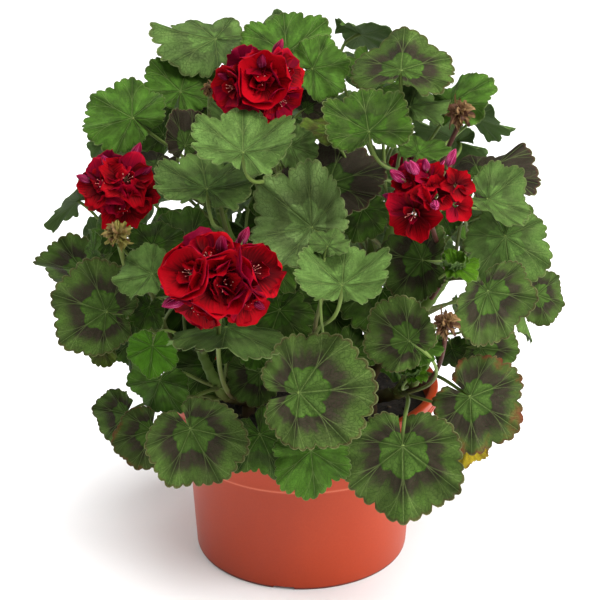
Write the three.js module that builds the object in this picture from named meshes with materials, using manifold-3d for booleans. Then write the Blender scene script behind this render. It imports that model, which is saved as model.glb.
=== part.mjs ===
// A zonal geranium in a round plastic pot, in bloom. Millimetres, +Z up.
// The origin is the middle of the pot's flat underside, and -Y is the side that is seen.
import * as THREE from "three";
import { mergeVertices } from "three/addons/utils/BufferGeometryUtils.js";
import Module from "manifold-3d";

const wasm = await Module();
wasm.setup();

// Pot
const POT_HEIGHT = 123;
const RIM_RADIUS = 95;
const RIM_BAND = 10; // height of the upright band at the top
const RIM_LIP = 6; // width of the band, seen from above
const STEP_HEIGHT = 76.5; // where the collar starts
const STEP_RADIUS = 80.5;
const STEP_LEDGE = 0.8; // how far the step stands out
const BASE_RADIUS = 75.3;
const FOOT_BEVEL = 1.2;
const WALL = 1.6;
const FLOOR = 3;
const NOTCH_WIDTH = 14.5; // drainage notches in the foot
const NOTCH_HEIGHT = 2;
const NOTCH_DEPTH = 6;
const NOTCH_COUNT = 4;
const FIRST_NOTCH = -99.4; // degrees round the pot from +X
const POT_SIDES = 32;
const GAP = 0.3; // between pieces that rest against each other

// Soil and stems
const SOIL_HEIGHT = 108;
const SOIL_HEAP = 4; // how much higher it is round the stems
const CLUMP = 1.6; // height of its clumps
const STEM_RADIUS = 4.4;
const SHOOT_RADIUS = 3.2; // the young upper half of a stem
const STEM_SIDES = 6;
const STEM_DEPTH = 26; // how far a stem reaches into the soil
const HOLE_SLACK = 0.5;
const HOLE_SIDES = 8;

// Leaves
const BLADE = 0.8; // thickness
const LOBES = 7;
const LOBE_DEPTH = 0.08; // of the leaf's half width
const CREST = 9; // degrees from the middle of a lobe to the two corners of its crest
const REACH = 0.3; // how much longer the blade is along its midrib
const NAVEL = 0.34; // how far the petiole's point lies behind the blade's middle
const SINUS = 8; // degrees from the middle of the notch at the petiole to its edge
const CUP = 0.1; // rise of the margin, of the half width
const PLEAT = 0.055; // rise and fall between a lobe and the fold beside it
const SWING = 0.06; // rise and fall of the margin over the whole leaf, of the half width
const LARGE_LEAF = 44; // width from which a lobe of the blade has a crest with two corners
const PETIOLE_RADIUS = 1.5;
const PETIOLE_LENGTH = 62;
const JOINT = 0.22; // where the petiole meets the blade, past the navel, of the half width
const JOINT_ANGLE = 17; // degrees from the midrib
const JOINT_RISE = 0.3; // of the petiole's end above the middle of the blade's thickness
const LEAF_GAP = 5.5; // left between two blades, which are bowed and pleated

// The eye that sees each leaf at its place in a picture 600 px wide and high.
const EYE = new THREE.Vector3(-1.1, -880, 507);
const EYE_PITCH = THREE.MathUtils.degToRad(20.3);
const EYE_FOCAL = 1375; // px
const MIDDLE = 300; // px

// The dome of leaves: an ellipsoid above its middle height and upright below it.
const DOME = new THREE.Vector3(172, 146, 160);
const DOME_MIDDLE = 205;

const DEG = Math.PI / 180;
const UP = new THREE.Vector3(0, 0, 1);

function vec(x, y, z) {
  return new THREE.Vector3(x, y, z);
}

function frac(value) {
  return value - Math.floor(value);
}

// The direction of sight through a point of the picture, of length 1 along +Y.
function sight(right, down) {
  const a = (right - MIDDLE) / EYE_FOCAL;
  const b = (MIDDLE - down) / EYE_FOCAL;
  const depth = Math.cos(EYE_PITCH) + b * Math.sin(EYE_PITCH);
  const rise = -Math.sin(EYE_PITCH) + b * Math.cos(EYE_PITCH);
  return vec(a / depth, 1, rise / depth);
}

// The point seen at a place of the picture, so many mm in front of the pot's axis.
function seen(right, down, near) {
  return EYE.clone().addScaledVector(sight(right, down), -EYE.y - near);
}

// How far in front of the axis the dome of leaves is met at a place of the picture.
function domeNear(right, down) {
  const ray = sight(right, down);
  const d = ray.clone().divide(DOME);
  const o = EYE.clone().sub(vec(0, 0, DOME_MIDDLE)).divide(DOME);
  const half = o.dot(d) / d.dot(d);
  const far = (o.dot(o) - 1) / d.dot(d);
  const t = -half - Math.sqrt(Math.max(0, half * half - far));
  if (EYE.z + t * ray.z >= DOME_MIDDLE) return -EYE.y - t;
  const flatHalf = (o.x * d.x + o.y * d.y) / (d.x * d.x + d.y * d.y);
  const flatFar = (o.x * o.x + o.y * o.y - 1) / (d.x * d.x + d.y * d.y);
  const s = -flatHalf - Math.sqrt(Math.max(0, flatHalf * flatHalf - flatFar));
  return -EYE.y - s;
}

// A closed mesh geometry as a solid, and a solid as a geometry.
function solid(geometry) {
  const plain = new THREE.BufferGeometry();
  plain.setAttribute("position", geometry.getAttribute("position"));
  if (geometry.index) plain.setIndex(geometry.index);
  const merged = mergeVertices(plain, 1e-4);
  return new wasm.Manifold(
    new wasm.Mesh({
      numProp: 3,
      vertProperties: new Float32Array(merged.attributes.position.array),
      triVerts: new Uint32Array(merged.index.array),
    }),
  );
}

function geometryOf(body) {
  const mesh = body.getMesh();
  const count = mesh.numProp;
  const points = new Float32Array(mesh.numVert * 3);
  for (let i = 0; i < mesh.numVert; i++) {
    points.set(mesh.vertProperties.subarray(i * count, i * count + 3), i * 3);
  }
  const geometry = new THREE.BufferGeometry();
  geometry.setAttribute("position", new THREE.BufferAttribute(points, 3));
  geometry.setIndex(new THREE.BufferAttribute(new Uint32Array(mesh.triVerts), 1));
  return geometry.toNonIndexed();
}

// Solids joined into one: a pocket that the joining seals is filled.
function fused(solids) {
  const shells = solids.reduce((sum, body) => sum.add(body)).decompose();
  return shells.reduce((most, shell) => (shell.volume() > most.volume() ? shell : most));
}

// A tube of a few sides along a curve.
function tube(curve, radius, sides, steps) {
  const section = new THREE.Shape(
    Array.from({ length: sides }, (_, i) => {
      const angle = (2 * Math.PI * i) / sides;
      return new THREE.Vector2(radius * Math.cos(angle), radius * Math.sin(angle));
    }),
  );
  const settings = { extrudePath: curve, steps, bevelEnabled: false };
  return solid(new THREE.ExtrudeGeometry(section, settings));
}

// A lathe body whose profile runs in mm, radius and height, and stands upright.
function turned(profile, sides) {
  const points = profile.map(([radius, height]) => new THREE.Vector2(radius, height));
  return new THREE.LatheGeometry(points, sides).rotateX(Math.PI / 2);
}

// The pot: one thin moulded wall with a flat floor, a step, a flared collar and an upright band.
function potBody() {
  const bandFoot = POT_HEIGHT - RIM_BAND;
  const outside = [
    [0, 0],
    [BASE_RADIUS - FOOT_BEVEL, 0],
    [BASE_RADIUS, FOOT_BEVEL],
    [STEP_RADIUS - STEP_LEDGE, STEP_HEIGHT - STEP_LEDGE],
    [STEP_RADIUS, STEP_HEIGHT],
    [RIM_RADIUS - WALL, bandFoot - WALL],
    [RIM_RADIUS, bandFoot],
    [RIM_RADIUS, POT_HEIGHT],
  ];
  const inside = [
    [RIM_RADIUS - RIM_LIP, POT_HEIGHT],
    [RIM_RADIUS - RIM_LIP, bandFoot],
    [STEP_RADIUS - STEP_LEDGE - WALL, STEP_HEIGHT],
    [BASE_RADIUS - WALL, FLOOR],
    [0, FLOOR],
  ];
  const wall = solid(turned([...outside, ...inside], POT_SIDES));
  const notches = Array.from({ length: NOTCH_COUNT }, (_, i) => {
    const angle = (FIRST_NOTCH + (360 * i) / NOTCH_COUNT) * DEG;
    const block = new THREE.BoxGeometry(NOTCH_DEPTH, NOTCH_WIDTH, 2 * NOTCH_HEIGHT);
    block.translate(BASE_RADIUS, 0, 0).rotateZ(angle);
    return solid(block);
  });
  return notches.reduce((body, notch) => body.subtract(notch), wall);
}

// Height of the soil's top: heaped to the middle, in clumps.
function soilTop(x, y) {
  const out = Math.hypot(x, y) / (RIM_RADIUS - RIM_LIP);
  const clumps = Math.sin(0.31 * x + 1.3) * Math.cos(0.27 * y) + Math.sin(0.17 * (x - y));
  return SOIL_HEIGHT + SOIL_HEAP * (1 - out * out) + CLUMP * 0.5 * clumps * (1 - out ** 4);
}

// The soil fills the pot, and each stem stands in a plain hole in it.
function soilBody(feet) {
  const rings = [0.5, 1];
  const bandFoot = POT_HEIGHT - RIM_BAND;
  const slope = (RIM_RADIUS - RIM_LIP - STEP_RADIUS + STEP_LEDGE + WALL) / (bandFoot - STEP_HEIGHT);
  const edge = RIM_RADIUS - RIM_LIP - slope * (bandFoot - SOIL_HEIGHT) - GAP;
  const profile = [
    [0, FLOOR + GAP],
    [BASE_RADIUS - WALL - GAP, FLOOR + GAP],
    [STEP_RADIUS - STEP_LEDGE - WALL - GAP, STEP_HEIGHT + GAP],
    ...rings.toReversed().map((share) => [edge * share, SOIL_HEIGHT]),
    [0, SOIL_HEIGHT],
  ];
  const geometry = turned(profile, POT_SIDES);
  const place = geometry.attributes.position;
  for (let i = 0; i < place.count; i++) {
    if (place.getZ(i) < SOIL_HEIGHT - 1) continue;
    place.setZ(i, soilTop(place.getX(i), place.getY(i)));
  }
  return feet.reduce((body, foot) => {
    const radius = (STEM_RADIUS + HOLE_SLACK) / Math.cos(Math.PI / HOLE_SIDES);
    const hole = new THREE.CylinderGeometry(radius, radius, 2 * STEM_DEPTH, HOLE_SIDES);
    hole.rotateX(Math.PI / 2);
    hole.translate(foot.x, foot.y, soilTop(foot.x, foot.y) - GAP);
    return body.subtract(solid(hole));
  }, solid(geometry));
}

// Outline of a zonal leaf round its navel, for a half width of 1: the angle runs from the midrib.
function outline(angle) {
  const turn = Math.abs(angle);
  const body = 1 + REACH * Math.cos(angle);
  const lobes = 1 + LOBE_DEPTH * Math.cos(LOBES * angle);
  const shoulder = THREE.MathUtils.smoothstep(turn / DEG, 150, 180 - SINUS);
  return body * lobes * (1 - 0.2 * shoulder);
}

// Height of the margin above the leaf's own plane, for a half width of 1.
function marginRise(angle, { bowl, swing }) {
  return bowl + PLEAT * Math.cos(LOBES * angle) + swing * Math.cos(2 * angle + 1.1);
}

// The angles of the margin's points: on each lobe, and in each fold between two.
function marginAngles(leaf) {
  const crests = 2 * leaf.half >= LARGE_LEAF && !leaf.far ? [-CREST, CREST] : [0];
  const angles = [SINUS - 180];
  for (let k = 1 - LOBES; k < LOBES; k++) {
    const middle = (180 / LOBES) * k;
    if (k % 2 === 0) angles.push(...crests.map((crest) => middle + crest));
    else angles.push(middle);
  }
  angles.push(180 - SINUS);
  return angles.map((angle) => angle * DEG);
}

// The point of the margin at an angle from the midrib, in the leaf's own frame: along its midrib,
// to its side and up. The blade runs straight from the navel to its margin.
function marginPoint(leaf, angle) {
  const reach = leaf.half * outline(angle);
  return vec(reach * Math.cos(angle), reach * Math.sin(angle), leaf.half * marginRise(angle, leaf));
}

function inLeaf(leaf, point) {
  return leaf.navel
    .clone()
    .addScaledVector(leaf.midrib, point.x)
    .addScaledVector(leaf.side, point.y)
    .addScaledVector(leaf.normal, point.z);
}

// A leaf's blade as a closed solid: a fan from the navel, with both faces split alike.
function bladeOf(leaf) {
  const lifts = [BLADE / 2, -BLADE / 2];
  const margin = marginAngles(leaf).map((angle) => marginPoint(leaf, angle));
  const points = lifts.flatMap((lift) =>
    [vec(0, 0, 0), ...margin].map((point) => inLeaf(leaf, point.clone().setZ(point.z + lift))),
  );
  const under = margin.length + 1;
  const faces = [];
  for (let k = 1; k < margin.length; k++) {
    faces.push(0, k, k + 1, under, under + k + 1, under + k);
  }
  for (let a = 0; a < under; a++) {
    const b = (a + 1) % under;
    faces.push(a, under + a, b, b, under + a, under + b);
  }
  const geometry = new THREE.BufferGeometry().setFromPoints(points);
  geometry.setIndex(faces);
  return solid(geometry);
}

// The stems, each with its foot in the soil (x, y) and a knee and a head at places of the picture
// (right, down, mm in front of the axis). Each leaf of a stem is a row: right, down, mm behind the
// dome's front, width in mm, short way seen over long way, clock direction in which its face
// leans, clock direction of its midrib.
const STEMS = [
  {
    name: "stem_top_left",
    foot: [-17, 26],
    knee: [240, 270, 10],
    head: [205, 165, 5],
    leaves: [
      [200, 38, 0, 58, 0.5, 0, 275],
      [183, 82, 4, 46, 0.8, 0, 15],
      [122, 112, 0, 48, 0.82, 340, 300],
      [188, 137, 26, 36, 0.75, 70, 20],
      [205, 180, 12, 54, 0.55, 0, 350],
    ],
  },
  {
    name: "stem_top",
    foot: [4, 14],
    knee: [292, 270, 5],
    head: [285, 150, 12],
    leaves: [
      [286, 43, 8, 50, 0.68, 0, 355],
      [322, 67, 0, 36, 0.9, 45, 80],
      [238, 118, 14, 33, 0.62, 0, 350],
      [297, 148, 10, 25, 0.9, 90, 110],
      [243, 142, 0, 54, 0.6, 0, 0],
    ],
  },
  {
    name: "stem_top_right",
    foot: [25, 22],
    knee: [375, 285, 0],
    head: [405, 175, 5],
    leaves: [
      [402, 61, 0, 60, 0.55, 0, 5],
      [412, 101, 16, 42, 0.5, 0, 20],
      [461, 97, 0, 40, 0.62, 330, 55],
      [367, 121, 0, 47, 0.75, 0, 350],
      [333, 172, 24, 60, 0.7, 0, 20],
      [325, 128, 22, 30, 0.5, 0, 300],
      [424, 150, 22, 28, 0.5, 0, 60],
    ],
  },
  {
    name: "stem_right",
    foot: [47, 4],
    knee: [430, 300, 5],
    head: [468, 245, 20],
    leaves: [
      [491, 170, 6, 58, 0.5, 0, 60],
      [498, 203, 0, 40, 0.7, 45, 110],
      [507, 252, 0, 55, 0.85, 90, 172],
      [492, 303, 14, 52, 0.75, 120, 160],
      [544, 297, 24, 34, 0.8, 90, 110],
      [411, 258, 26, 49, 0.82, 270, 280],
      [461, 265, 20, 22, 0.6, 0, 80],
    ],
  },
  {
    name: "stem_low_right",
    foot: [47, -29],
    knee: [407, 388, 48],
    head: [440, 335, 62],
    leaves: [
      [400, 333, 14, 42, 0.93, 270, 310],
      [422, 346, 2, 24, 0.85, 0, 100],
      [454, 354, 16, 25, 0.72, 200, 160],
      [490, 349, 12, 37, 0.9, 90, 95],
      [482, 405, 4, 58, 0.88, 120, 125],
      [467, 434, 24, 26, 0.85, 180, 200],
      [403, 465, 2, 68, 0.95, 180, 180],
    ],
  },
  {
    name: "stem_front",
    foot: [6, -40],
    knee: [316, 385, 78],
    head: [314, 335, 92],
    leaves: [
      [300, 217, -6, 56, 0.92, 300, 310],
      [343, 275, -8, 48, 0.68, 0, 5],
      [330, 242, 12, 22, 0.65, 0, 30],
      [318, 391, -6, 65, 0.98, 90, 85],
      [312, 462, 8, 44, 0.9, 180, 175],
      [265, 445, 8, 46, 0.85, 200, 155],
    ],
  },
  {
    name: "stem_front_left",
    foot: [-36, -31],
    knee: [222, 392, 62],
    head: [198, 345, 76],
    leaves: [
      [225, 334, 6, 60, 0.36, 0, 190],
      [152, 353, 0, 29, 0.85, 210, 185],
      [157, 388, 26, 37, 0.8, 220, 200],
      [198, 442, 0, 55, 0.95, 180, 150],
      [148, 440, 14, 40, 0.95, 200, 200],
      [121, 420, 26, 38, 0.75, 250, 220],
    ],
  },
  {
    name: "stem_left",
    foot: [-49, 1],
    knee: [165, 345, 20],
    head: [150, 290, 22],
    leaves: [
      [155, 240, 22, 30, 0.75, 0, 20],
      [145, 270, 0, 35, 0.72, 330, 300],
      [92, 307, 0, 54, 0.95, 270, 288],
      [72, 268, 14, 46, 0.6, 200, 285],
      [93, 247, 6, 20, 0.4, 270, 350],
      [110, 232, 30, 26, 0.85, 300, 330],
      [100, 350, 22, 21, 0.85, 220, 210],
      [128, 345, 32, 28, 0.7, 270, 230],
    ],
  },
  { name: "stem_back_left", foot: [-22, 52], at: [-48, 66, 170], tip: [-58, 84, 240], leaves: [] },
  { name: "stem_back_right", foot: [34, 46], at: [48, 62, 175], tip: [56, 80, 245], leaves: [] },
];

// The red heads of bloom: the stem that bears each, its middle (right, down, mm behind the dome's
// front), its half width, half height and half depth in mm, and the florets that are seen on it
// (right, down, width in mm). The last two stand behind and are given by their middles in mm.
const BLOOMS = [
  {
    name: "bloom_top",
    stem: "stem_top",
    at: [260, 84, 4],
    size: [27, 22, 24],
    florets: [
      [262, 80, 30],
      [229, 88, 24],
      [292, 70, 24],
      [284, 104, 24],
      [240, 103, 18],
      [262, 62, 18],
    ],
  },
  {
    name: "bloom_left",
    stem: "stem_left",
    at: [120, 189, 4],
    size: [25, 24, 22],
    florets: [
      [130, 174, 30],
      [96, 184, 24],
      [123, 210, 26],
      [146, 200, 18],
      [92, 198, 18],
    ],
  },
  {
    name: "bloom_front",
    stem: "stem_front_left",
    at: [221, 282, -16],
    size: [34, 29, 26],
    florets: [
      [222, 284, 35],
      [186, 272, 27],
      [204, 248, 26],
      [260, 268, 29],
      [249, 303, 24],
      [195, 312, 26],
      [232, 245, 18],
    ],
  },
  {
    name: "bloom_right",
    stem: "stem_right",
    at: [431, 199, 2],
    size: [28, 26, 22],
    florets: [
      [405, 221, 29],
      [462, 182, 18],
      [462, 206, 18],
      [430, 168, 17],
      [407, 166, 14],
      [394, 176, 14],
      [438, 194, 18],
    ],
  },
  { name: "bloom_back_left", stem: "stem_back_left", middle: [-46, 112, 268], size: [25, 22, 22] },
  { name: "bloom_back_right", stem: "stem_back_right", middle: [72, 100, 238], size: [23, 20, 20] },
];

// Heads that have finished flowering and dried to a tuft of seed beaks.
const SPENT = [
  { name: "spent_head_top", stem: "stem_top_right", at: [460, 115, -4], size: 8.5, spikes: 13 },
  { name: "spent_head_left", stem: "stem_left", at: [119, 237, -6], size: 8.5, spikes: 13 },
  { name: "spent_head_low", stem: "stem_low_right", at: [446, 325, 2], size: 8, spikes: 12 },
  { name: "spent_head_small", stem: "stem_top_left", at: [210, 90, 26], size: 5, spikes: 7 },
];

// The frame of what faces the eye at a place of the picture.
function view(right, down) {
  const toEye = sight(right, down).normalize().negate();
  const across = vec(1, 0, 0).projectOnPlane(toEye).normalize();
  const upward = vec().crossVectors(toEye, across);
  const towards = (clock) =>
    across
      .clone()
      .multiplyScalar(Math.sin(clock * DEG))
      .addScaledVector(upward, Math.cos(clock * DEG));
  return { toEye, across, upward, towards };
}

// A leaf of the table, before it is moved clear of its neighbours.
function seenLeaf(row, stem, index) {
  const [right, down, back, width, squash, lean, clock] = row;
  const { toEye, towards } = view(right, down);
  const normal = toEye
    .clone()
    .multiplyScalar(squash)
    .addScaledVector(towards(lean), Math.sqrt(1 - squash * squash));
  const heading = towards(clock);
  const midrib = heading
    .addScaledVector(toEye, -heading.dot(normal) / toEye.dot(normal))
    .normalize();
  const middle = seen(right, down, domeNear(right, down) - back);
  const inward = toEye.clone().negate();
  return makeLeaf(stem, index, { middle, normal, midrib, half: width / 2, back, inward });
}

function makeLeaf(stem, index, { middle, normal, midrib, half, back, inward }) {
  const side = vec().crossVectors(normal, midrib);
  const bowl = CUP * Math.sin(2.4 * index + 0.7);
  const swing = SWING * Math.cos(1.7 * index);
  return { stem, index, middle, normal, midrib, side, half, back, inward, bowl, swing };
}

// The leaves of the far side, which follow the dome by a rule.
const FAR_LEAVES = 22;
const FAR_ARC = [4, 176]; // degrees round the pot from +X, over the back
const FAR_HEIGHT = [128, 360];
const FAR_WIDTH = [42, 58];

function farLeaf(i) {
  const round = FAR_ARC[0] + (FAR_ARC[1] - FAR_ARC[0]) * frac(0.618 * i + 0.2);
  const height = FAR_HEIGHT[0] + (FAR_HEIGHT[1] - FAR_HEIGHT[0]) * ((i + 0.5) / FAR_LEAVES);
  const above = Math.max(0, height - DOME_MIDDLE) / DOME.z;
  const shrink = Math.sqrt(1 - Math.min(0.97, above * above));
  const out = vec(Math.cos(round * DEG), Math.sin(round * DEG), 0);
  const middle = vec(out.x * DOME.x, out.y * DOME.y, 0).multiplyScalar(0.93 * shrink);
  middle.z = height;
  const turn = (50 * (frac(0.37 * i) - 0.5) + round) * DEG;
  const rise = 0.25 + 0.9 * above + 0.3 * frac(0.71 * i);
  const normal = vec(Math.cos(turn), Math.sin(turn), rise).normalize();
  const swivel = (300 * frac(0.443 * i) - 150) * DEG;
  const midrib = vec(0, 0, -1).projectOnPlane(normal).normalize().applyAxisAngle(normal, swivel);
  const half = 0.5 * (FAR_WIDTH[0] + (FAR_WIDTH[1] - FAR_WIDTH[0]) * frac(0.83 * i));
  const bearers = STEMS.filter((stem) => !stem.name.includes("front"));
  const bearer = bearers.reduce((best, stem) => {
    const gap = stem.tipPoint.distanceTo(middle);
    return gap < best.tipPoint.distanceTo(middle) ? stem : best;
  });
  const inward = out.clone().multiplyScalar(-1).addScaledVector(UP, -0.5 * above).normalize();
  const far = makeLeaf(bearer.name, i + 20, { middle, normal, midrib, half, back: 60 + i, inward });
  return Object.assign(far, { far: true });
}

// Where each stem runs above the soil: upright at first, through its knee and to its head.
for (const stem of STEMS) {
  const [x, y] = stem.foot;
  stem.tipPoint = stem.tip ? vec(...stem.tip) : seen(...stem.head);
  const kneePoint = stem.at ? vec(...stem.at) : seen(...stem.knee);
  stem.soil = soilTop(x, y);
  stem.starts = [];
  stem.curve = new THREE.CatmullRomCurve3(
    [vec(x, y, stem.soil + 2), vec(x, y, stem.soil + 9), kneePoint, stem.tipPoint],
    false,
    "centripetal",
  );
}

for (const bloom of BLOOMS) {
  bloom.middlePoint = bloom.middle
    ? vec(...bloom.middle)
    : seen(bloom.at[0], bloom.at[1], domeNear(bloom.at[0], bloom.at[1]) - bloom.at[2]);
}
for (const head of SPENT) {
  head.middlePoint = seen(head.at[0], head.at[1], domeNear(head.at[0], head.at[1]) - head.at[2]);
}

const balls = [
  ...BLOOMS.map(({ middlePoint, size }) => ({
    middle: middlePoint,
    reach: vec(size[0], size[2], size[1]).addScalar(1.5),
  })),
  ...SPENT.map(({ middlePoint, size }) => ({
    middle: middlePoint,
    reach: vec(1, 1, 1).multiplyScalar(size + 4),
  })),
];

const leaves = STEMS.flatMap((stem) =>
  stem.leaves.map((row, index) => seenLeaf(row, stem.name, index)),
);
for (let i = 0; i < FAR_LEAVES; i++) leaves.push(farLeaf(i));

// Points spread over a flat leaf: its middle, a ring half way out and one at the margin.
function spread(leaf) {
  const points = [leaf.middle.clone()];
  for (const [share, count] of [[0.5, 6], [1, 12]]) {
    for (let k = 0; k < count; k++) {
      const angle = (2 * Math.PI * k) / count;
      points.push(
        leaf.middle
          .clone()
          .addScaledVector(leaf.midrib, leaf.half * share * Math.cos(angle))
          .addScaledVector(leaf.side, leaf.half * share * Math.sin(angle)),
      );
    }
  }
  return points;
}

// Whether the points lie clear on one side of a leaf, where they come over it.
function oneSided(points, leaf) {
  let above = false;
  let below = false;
  for (const point of points) {
    const offset = point.clone().sub(leaf.middle);
    const height = offset.dot(leaf.normal);
    const out = Math.sqrt(Math.max(0, offset.lengthSq() - height * height));
    if (out > leaf.half + 3) continue;
    if (Math.abs(height) < LEAF_GAP) return false;
    if (height > 0) above = true;
    else below = true;
  }
  return !(above && below);
}

// Whether a point keeps off the pot, the soil, the blooms and the spent heads.
function free(point, slack) {
  const out = Math.hypot(point.x, point.y);
  if (point.z < POT_HEIGHT + slack && out < RIM_RADIUS + slack && out > RIM_RADIUS - RIM_LIP - slack)
    return false;
  if (point.z < SOIL_HEIGHT + SOIL_HEAP + slack && out < RIM_RADIUS) return false;
  if (point.z < slack) return false;
  return balls.every(({ middle, reach }) => {
    const away = point.clone().sub(middle).divide(reach.clone().addScalar(slack));
    return away.lengthSq() > 1;
  });
}

// Each leaf, from the front ones on, moves back out of sight until it is clear of those before it.
const SETTLE_STEP = 2;
const SETTLE_TRIES = 45;
const placed = [];
for (const leaf of leaves.toSorted((a, b) => a.back - b.back)) {
  const start = leaf.middle.clone();
  leaf.tries = SETTLE_TRIES;
  for (let tries = 0; tries < SETTLE_TRIES; tries++) {
    const ahead = tries % 2 ? -1 : 1;
    const steps = ahead > 0 ? tries / 2 : Math.min(8, (tries + 1) / 2);
    leaf.middle.copy(start).addScaledVector(leaf.inward, SETTLE_STEP * steps * ahead);
    const points = spread(leaf);
    const clear =
      points.every((point) => free(point, 3)) &&
      placed.every((other) => {
        if (other.middle.distanceTo(leaf.middle) > other.half + leaf.half + 6) return true;
        return oneSided(points, other) && oneSided(spread(other), leaf);
      });
    if (clear) {
      leaf.tries = tries;
      break;
    }
  }
  if (leaf.tries === SETTLE_TRIES) leaf.middle.copy(start);
  leaf.navel = leaf.middle.clone().addScaledVector(leaf.midrib, -NAVEL * leaf.half);
  placed.push(leaf);
}

// Everything that a petiole or a flower stalk has to pass: rods are lines of points with a
// thickness, and each belongs to the stem that bears it.
const rods = STEMS.map((stem) => ({
  stem: stem.name,
  radius: STEM_RADIUS,
  points: stem.curve.getSpacedPoints(24),
}));

// How badly a line of points runs into what belongs to other stems, in mm.
function trouble(points, stem, radius, own) {
  let sum = 0;
  const last = points.length - 1;
  points.forEach((point, at) => {
    if (at > 0 && at < last && !free(point, radius + 1)) sum += 6;
    for (const leaf of placed) {
      if (leaf === own) continue;
      const offset = point.clone().sub(leaf.middle);
      const height = Math.abs(offset.dot(leaf.normal));
      if (height > radius + 4.5) continue;
      const out = Math.sqrt(Math.max(0, offset.lengthSq() - height * height));
      if (out > leaf.half + radius + 2) continue;
      sum += (radius + 4.5 - height) * (leaf.stem === stem ? 0.7 : 1);
    }
    for (const rod of rods) {
      const same = rod.stem === stem;
      if (same && at < 3) continue;
      const need = radius + rod.radius + 1;
      for (const other of rod.points) {
        const gap = point.distanceTo(other);
        if (gap < need) sum += (same ? 1.2 : 1.5) * (need - gap);
      }
    }
  });
  return sum;
}

// The way from a stem to a leaf or a flower: of all starts along the stem and all bends, the one
// that runs into least, is nearest to the usual length and rises from the stem.
const FIRST_START = 0.3; // of the stem's length
const START_STEP = 0.035;
const BENDS = [
  [0, 0],
  [0, 0.3],
  [0, -0.3],
  [0.35, 0],
  [-0.35, 0],
  [0.4, 0.3],
  [-0.4, 0.3],
  [0.4, -0.3],
  [-0.4, -0.3],
];

function route(stem, end, arrival, length, radius, own) {
  let best = null;
  for (let share = FIRST_START; share < 1; share += START_STEP) {
    const start = stem.curve.getPointAt(share);
    const along = stem.curve.getTangentAt(share);
    const span = start.distanceTo(end);
    const straight = end.clone().sub(start).normalize();
    const beside = vec().crossVectors(straight, UP).normalize();
    const over = vec().crossVectors(beside, straight);
    for (const [right, up] of BENDS) {
      const leave = along.clone().multiplyScalar(0.4).addScaledVector(straight, 0.8);
      leave.addScaledVector(beside, right).addScaledVector(over, up).normalize();
      const curve = new THREE.CubicBezierCurve3(
        start,
        start.clone().addScaledVector(leave, span / 3),
        end.clone().addScaledVector(arrival, -span / 3),
        end,
      );
      const points = curve.getPoints(14);
      const stretch = (span - length) / 22;
      const drop = Math.max(0, start.z - end.z + 4) / 14;
      const bend = Math.abs(right) + Math.abs(up);
      const hook = 20 * Math.max(0, 0.3 - straight.dot(arrival));
      const taken = stem.starts.filter((other) => Math.abs(other - share) < START_STEP / 2);
      const crowd = 5 * taken.length;
      const clash = 8 * trouble(points, stem.name, radius, own);
      const cost = clash + stretch * stretch + drop * drop + bend + hook + crowd;
      if (!best || cost < best.cost) best = { cost, clash, curve, points, share };
    }
  }
  stem.starts.push(best.share);
  rods.push({ stem: stem.name, radius, points: best.points });
  return best;
}

const stemNamed = Object.fromEntries(STEMS.map((stem) => [stem.name, stem]));
const STALK_RADIUS = 1.8;
const STALK_LENGTH = 105;
const CORE = 0.5; // of a head of bloom's half sizes
const SPENT_CORE = 0.5; // of a spent head's size
const CORE_EDGE = 0.8507; // height of a core's lowest edge under its middle, of the core's size
const STALK_SPREAD = 0.7; // how far a stalk arrives from the stem's side, for a rise of 1

// A flower stalk rises to its head from the stem's side. Its end is slanted, and its highest corner
// stops a gap below the lowest edge of the head's core.
function stalkTo(stem, head, coreSize) {
  const away = head.middlePoint.clone().sub(stem.tipPoint).setZ(0).normalize();
  const arrival = away.multiplyScalar(STALK_SPREAD).add(UP).normalize();
  const corner = STALK_RADIUS * Math.sin(Math.atan(STALK_SPREAD));
  const foot = head.middlePoint.clone();
  foot.z -= CORE_EDGE * coreSize + GAP + corner;
  return route(stem, foot, arrival, STALK_LENGTH, STALK_RADIUS, null);
}

for (const bloom of BLOOMS) {
  bloom.stalk = stalkTo(stemNamed[bloom.stem], bloom, CORE * bloom.size[1]);
}
for (const head of SPENT) {
  head.stalk = stalkTo(stemNamed[head.stem], head, SPENT_CORE * head.size);
}

// The petiole's end lies in the blade, in the triangle of the fan at its angle.
function jointOf(leaf, angle) {
  const angles = marginAngles(leaf);
  const k = angles.findIndex((other) => other > angle);
  const near = marginPoint(leaf, angles[k - 1]);
  const far = marginPoint(leaf, angles[k]);
  const plane = vec().crossVectors(near, far);
  const x = JOINT * leaf.half * Math.cos(angle);
  const y = JOINT * leaf.half * Math.sin(angle);
  return vec(x, y, -(plane.x * x + plane.y * y) / plane.z + JOINT_RISE);
}

for (const leaf of placed) {
  const arrival = leaf.normal.clone().multiplyScalar(0.6).addScaledVector(leaf.midrib, 0.8);
  arrival.normalize();
  const end = inLeaf(leaf, jointOf(leaf, JOINT_ANGLE * DEG));
  const stem = stemNamed[leaf.stem];
  leaf.petiole = route(stem, end, arrival, PETIOLE_LENGTH, PETIOLE_RADIUS, leaf);
}

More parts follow.
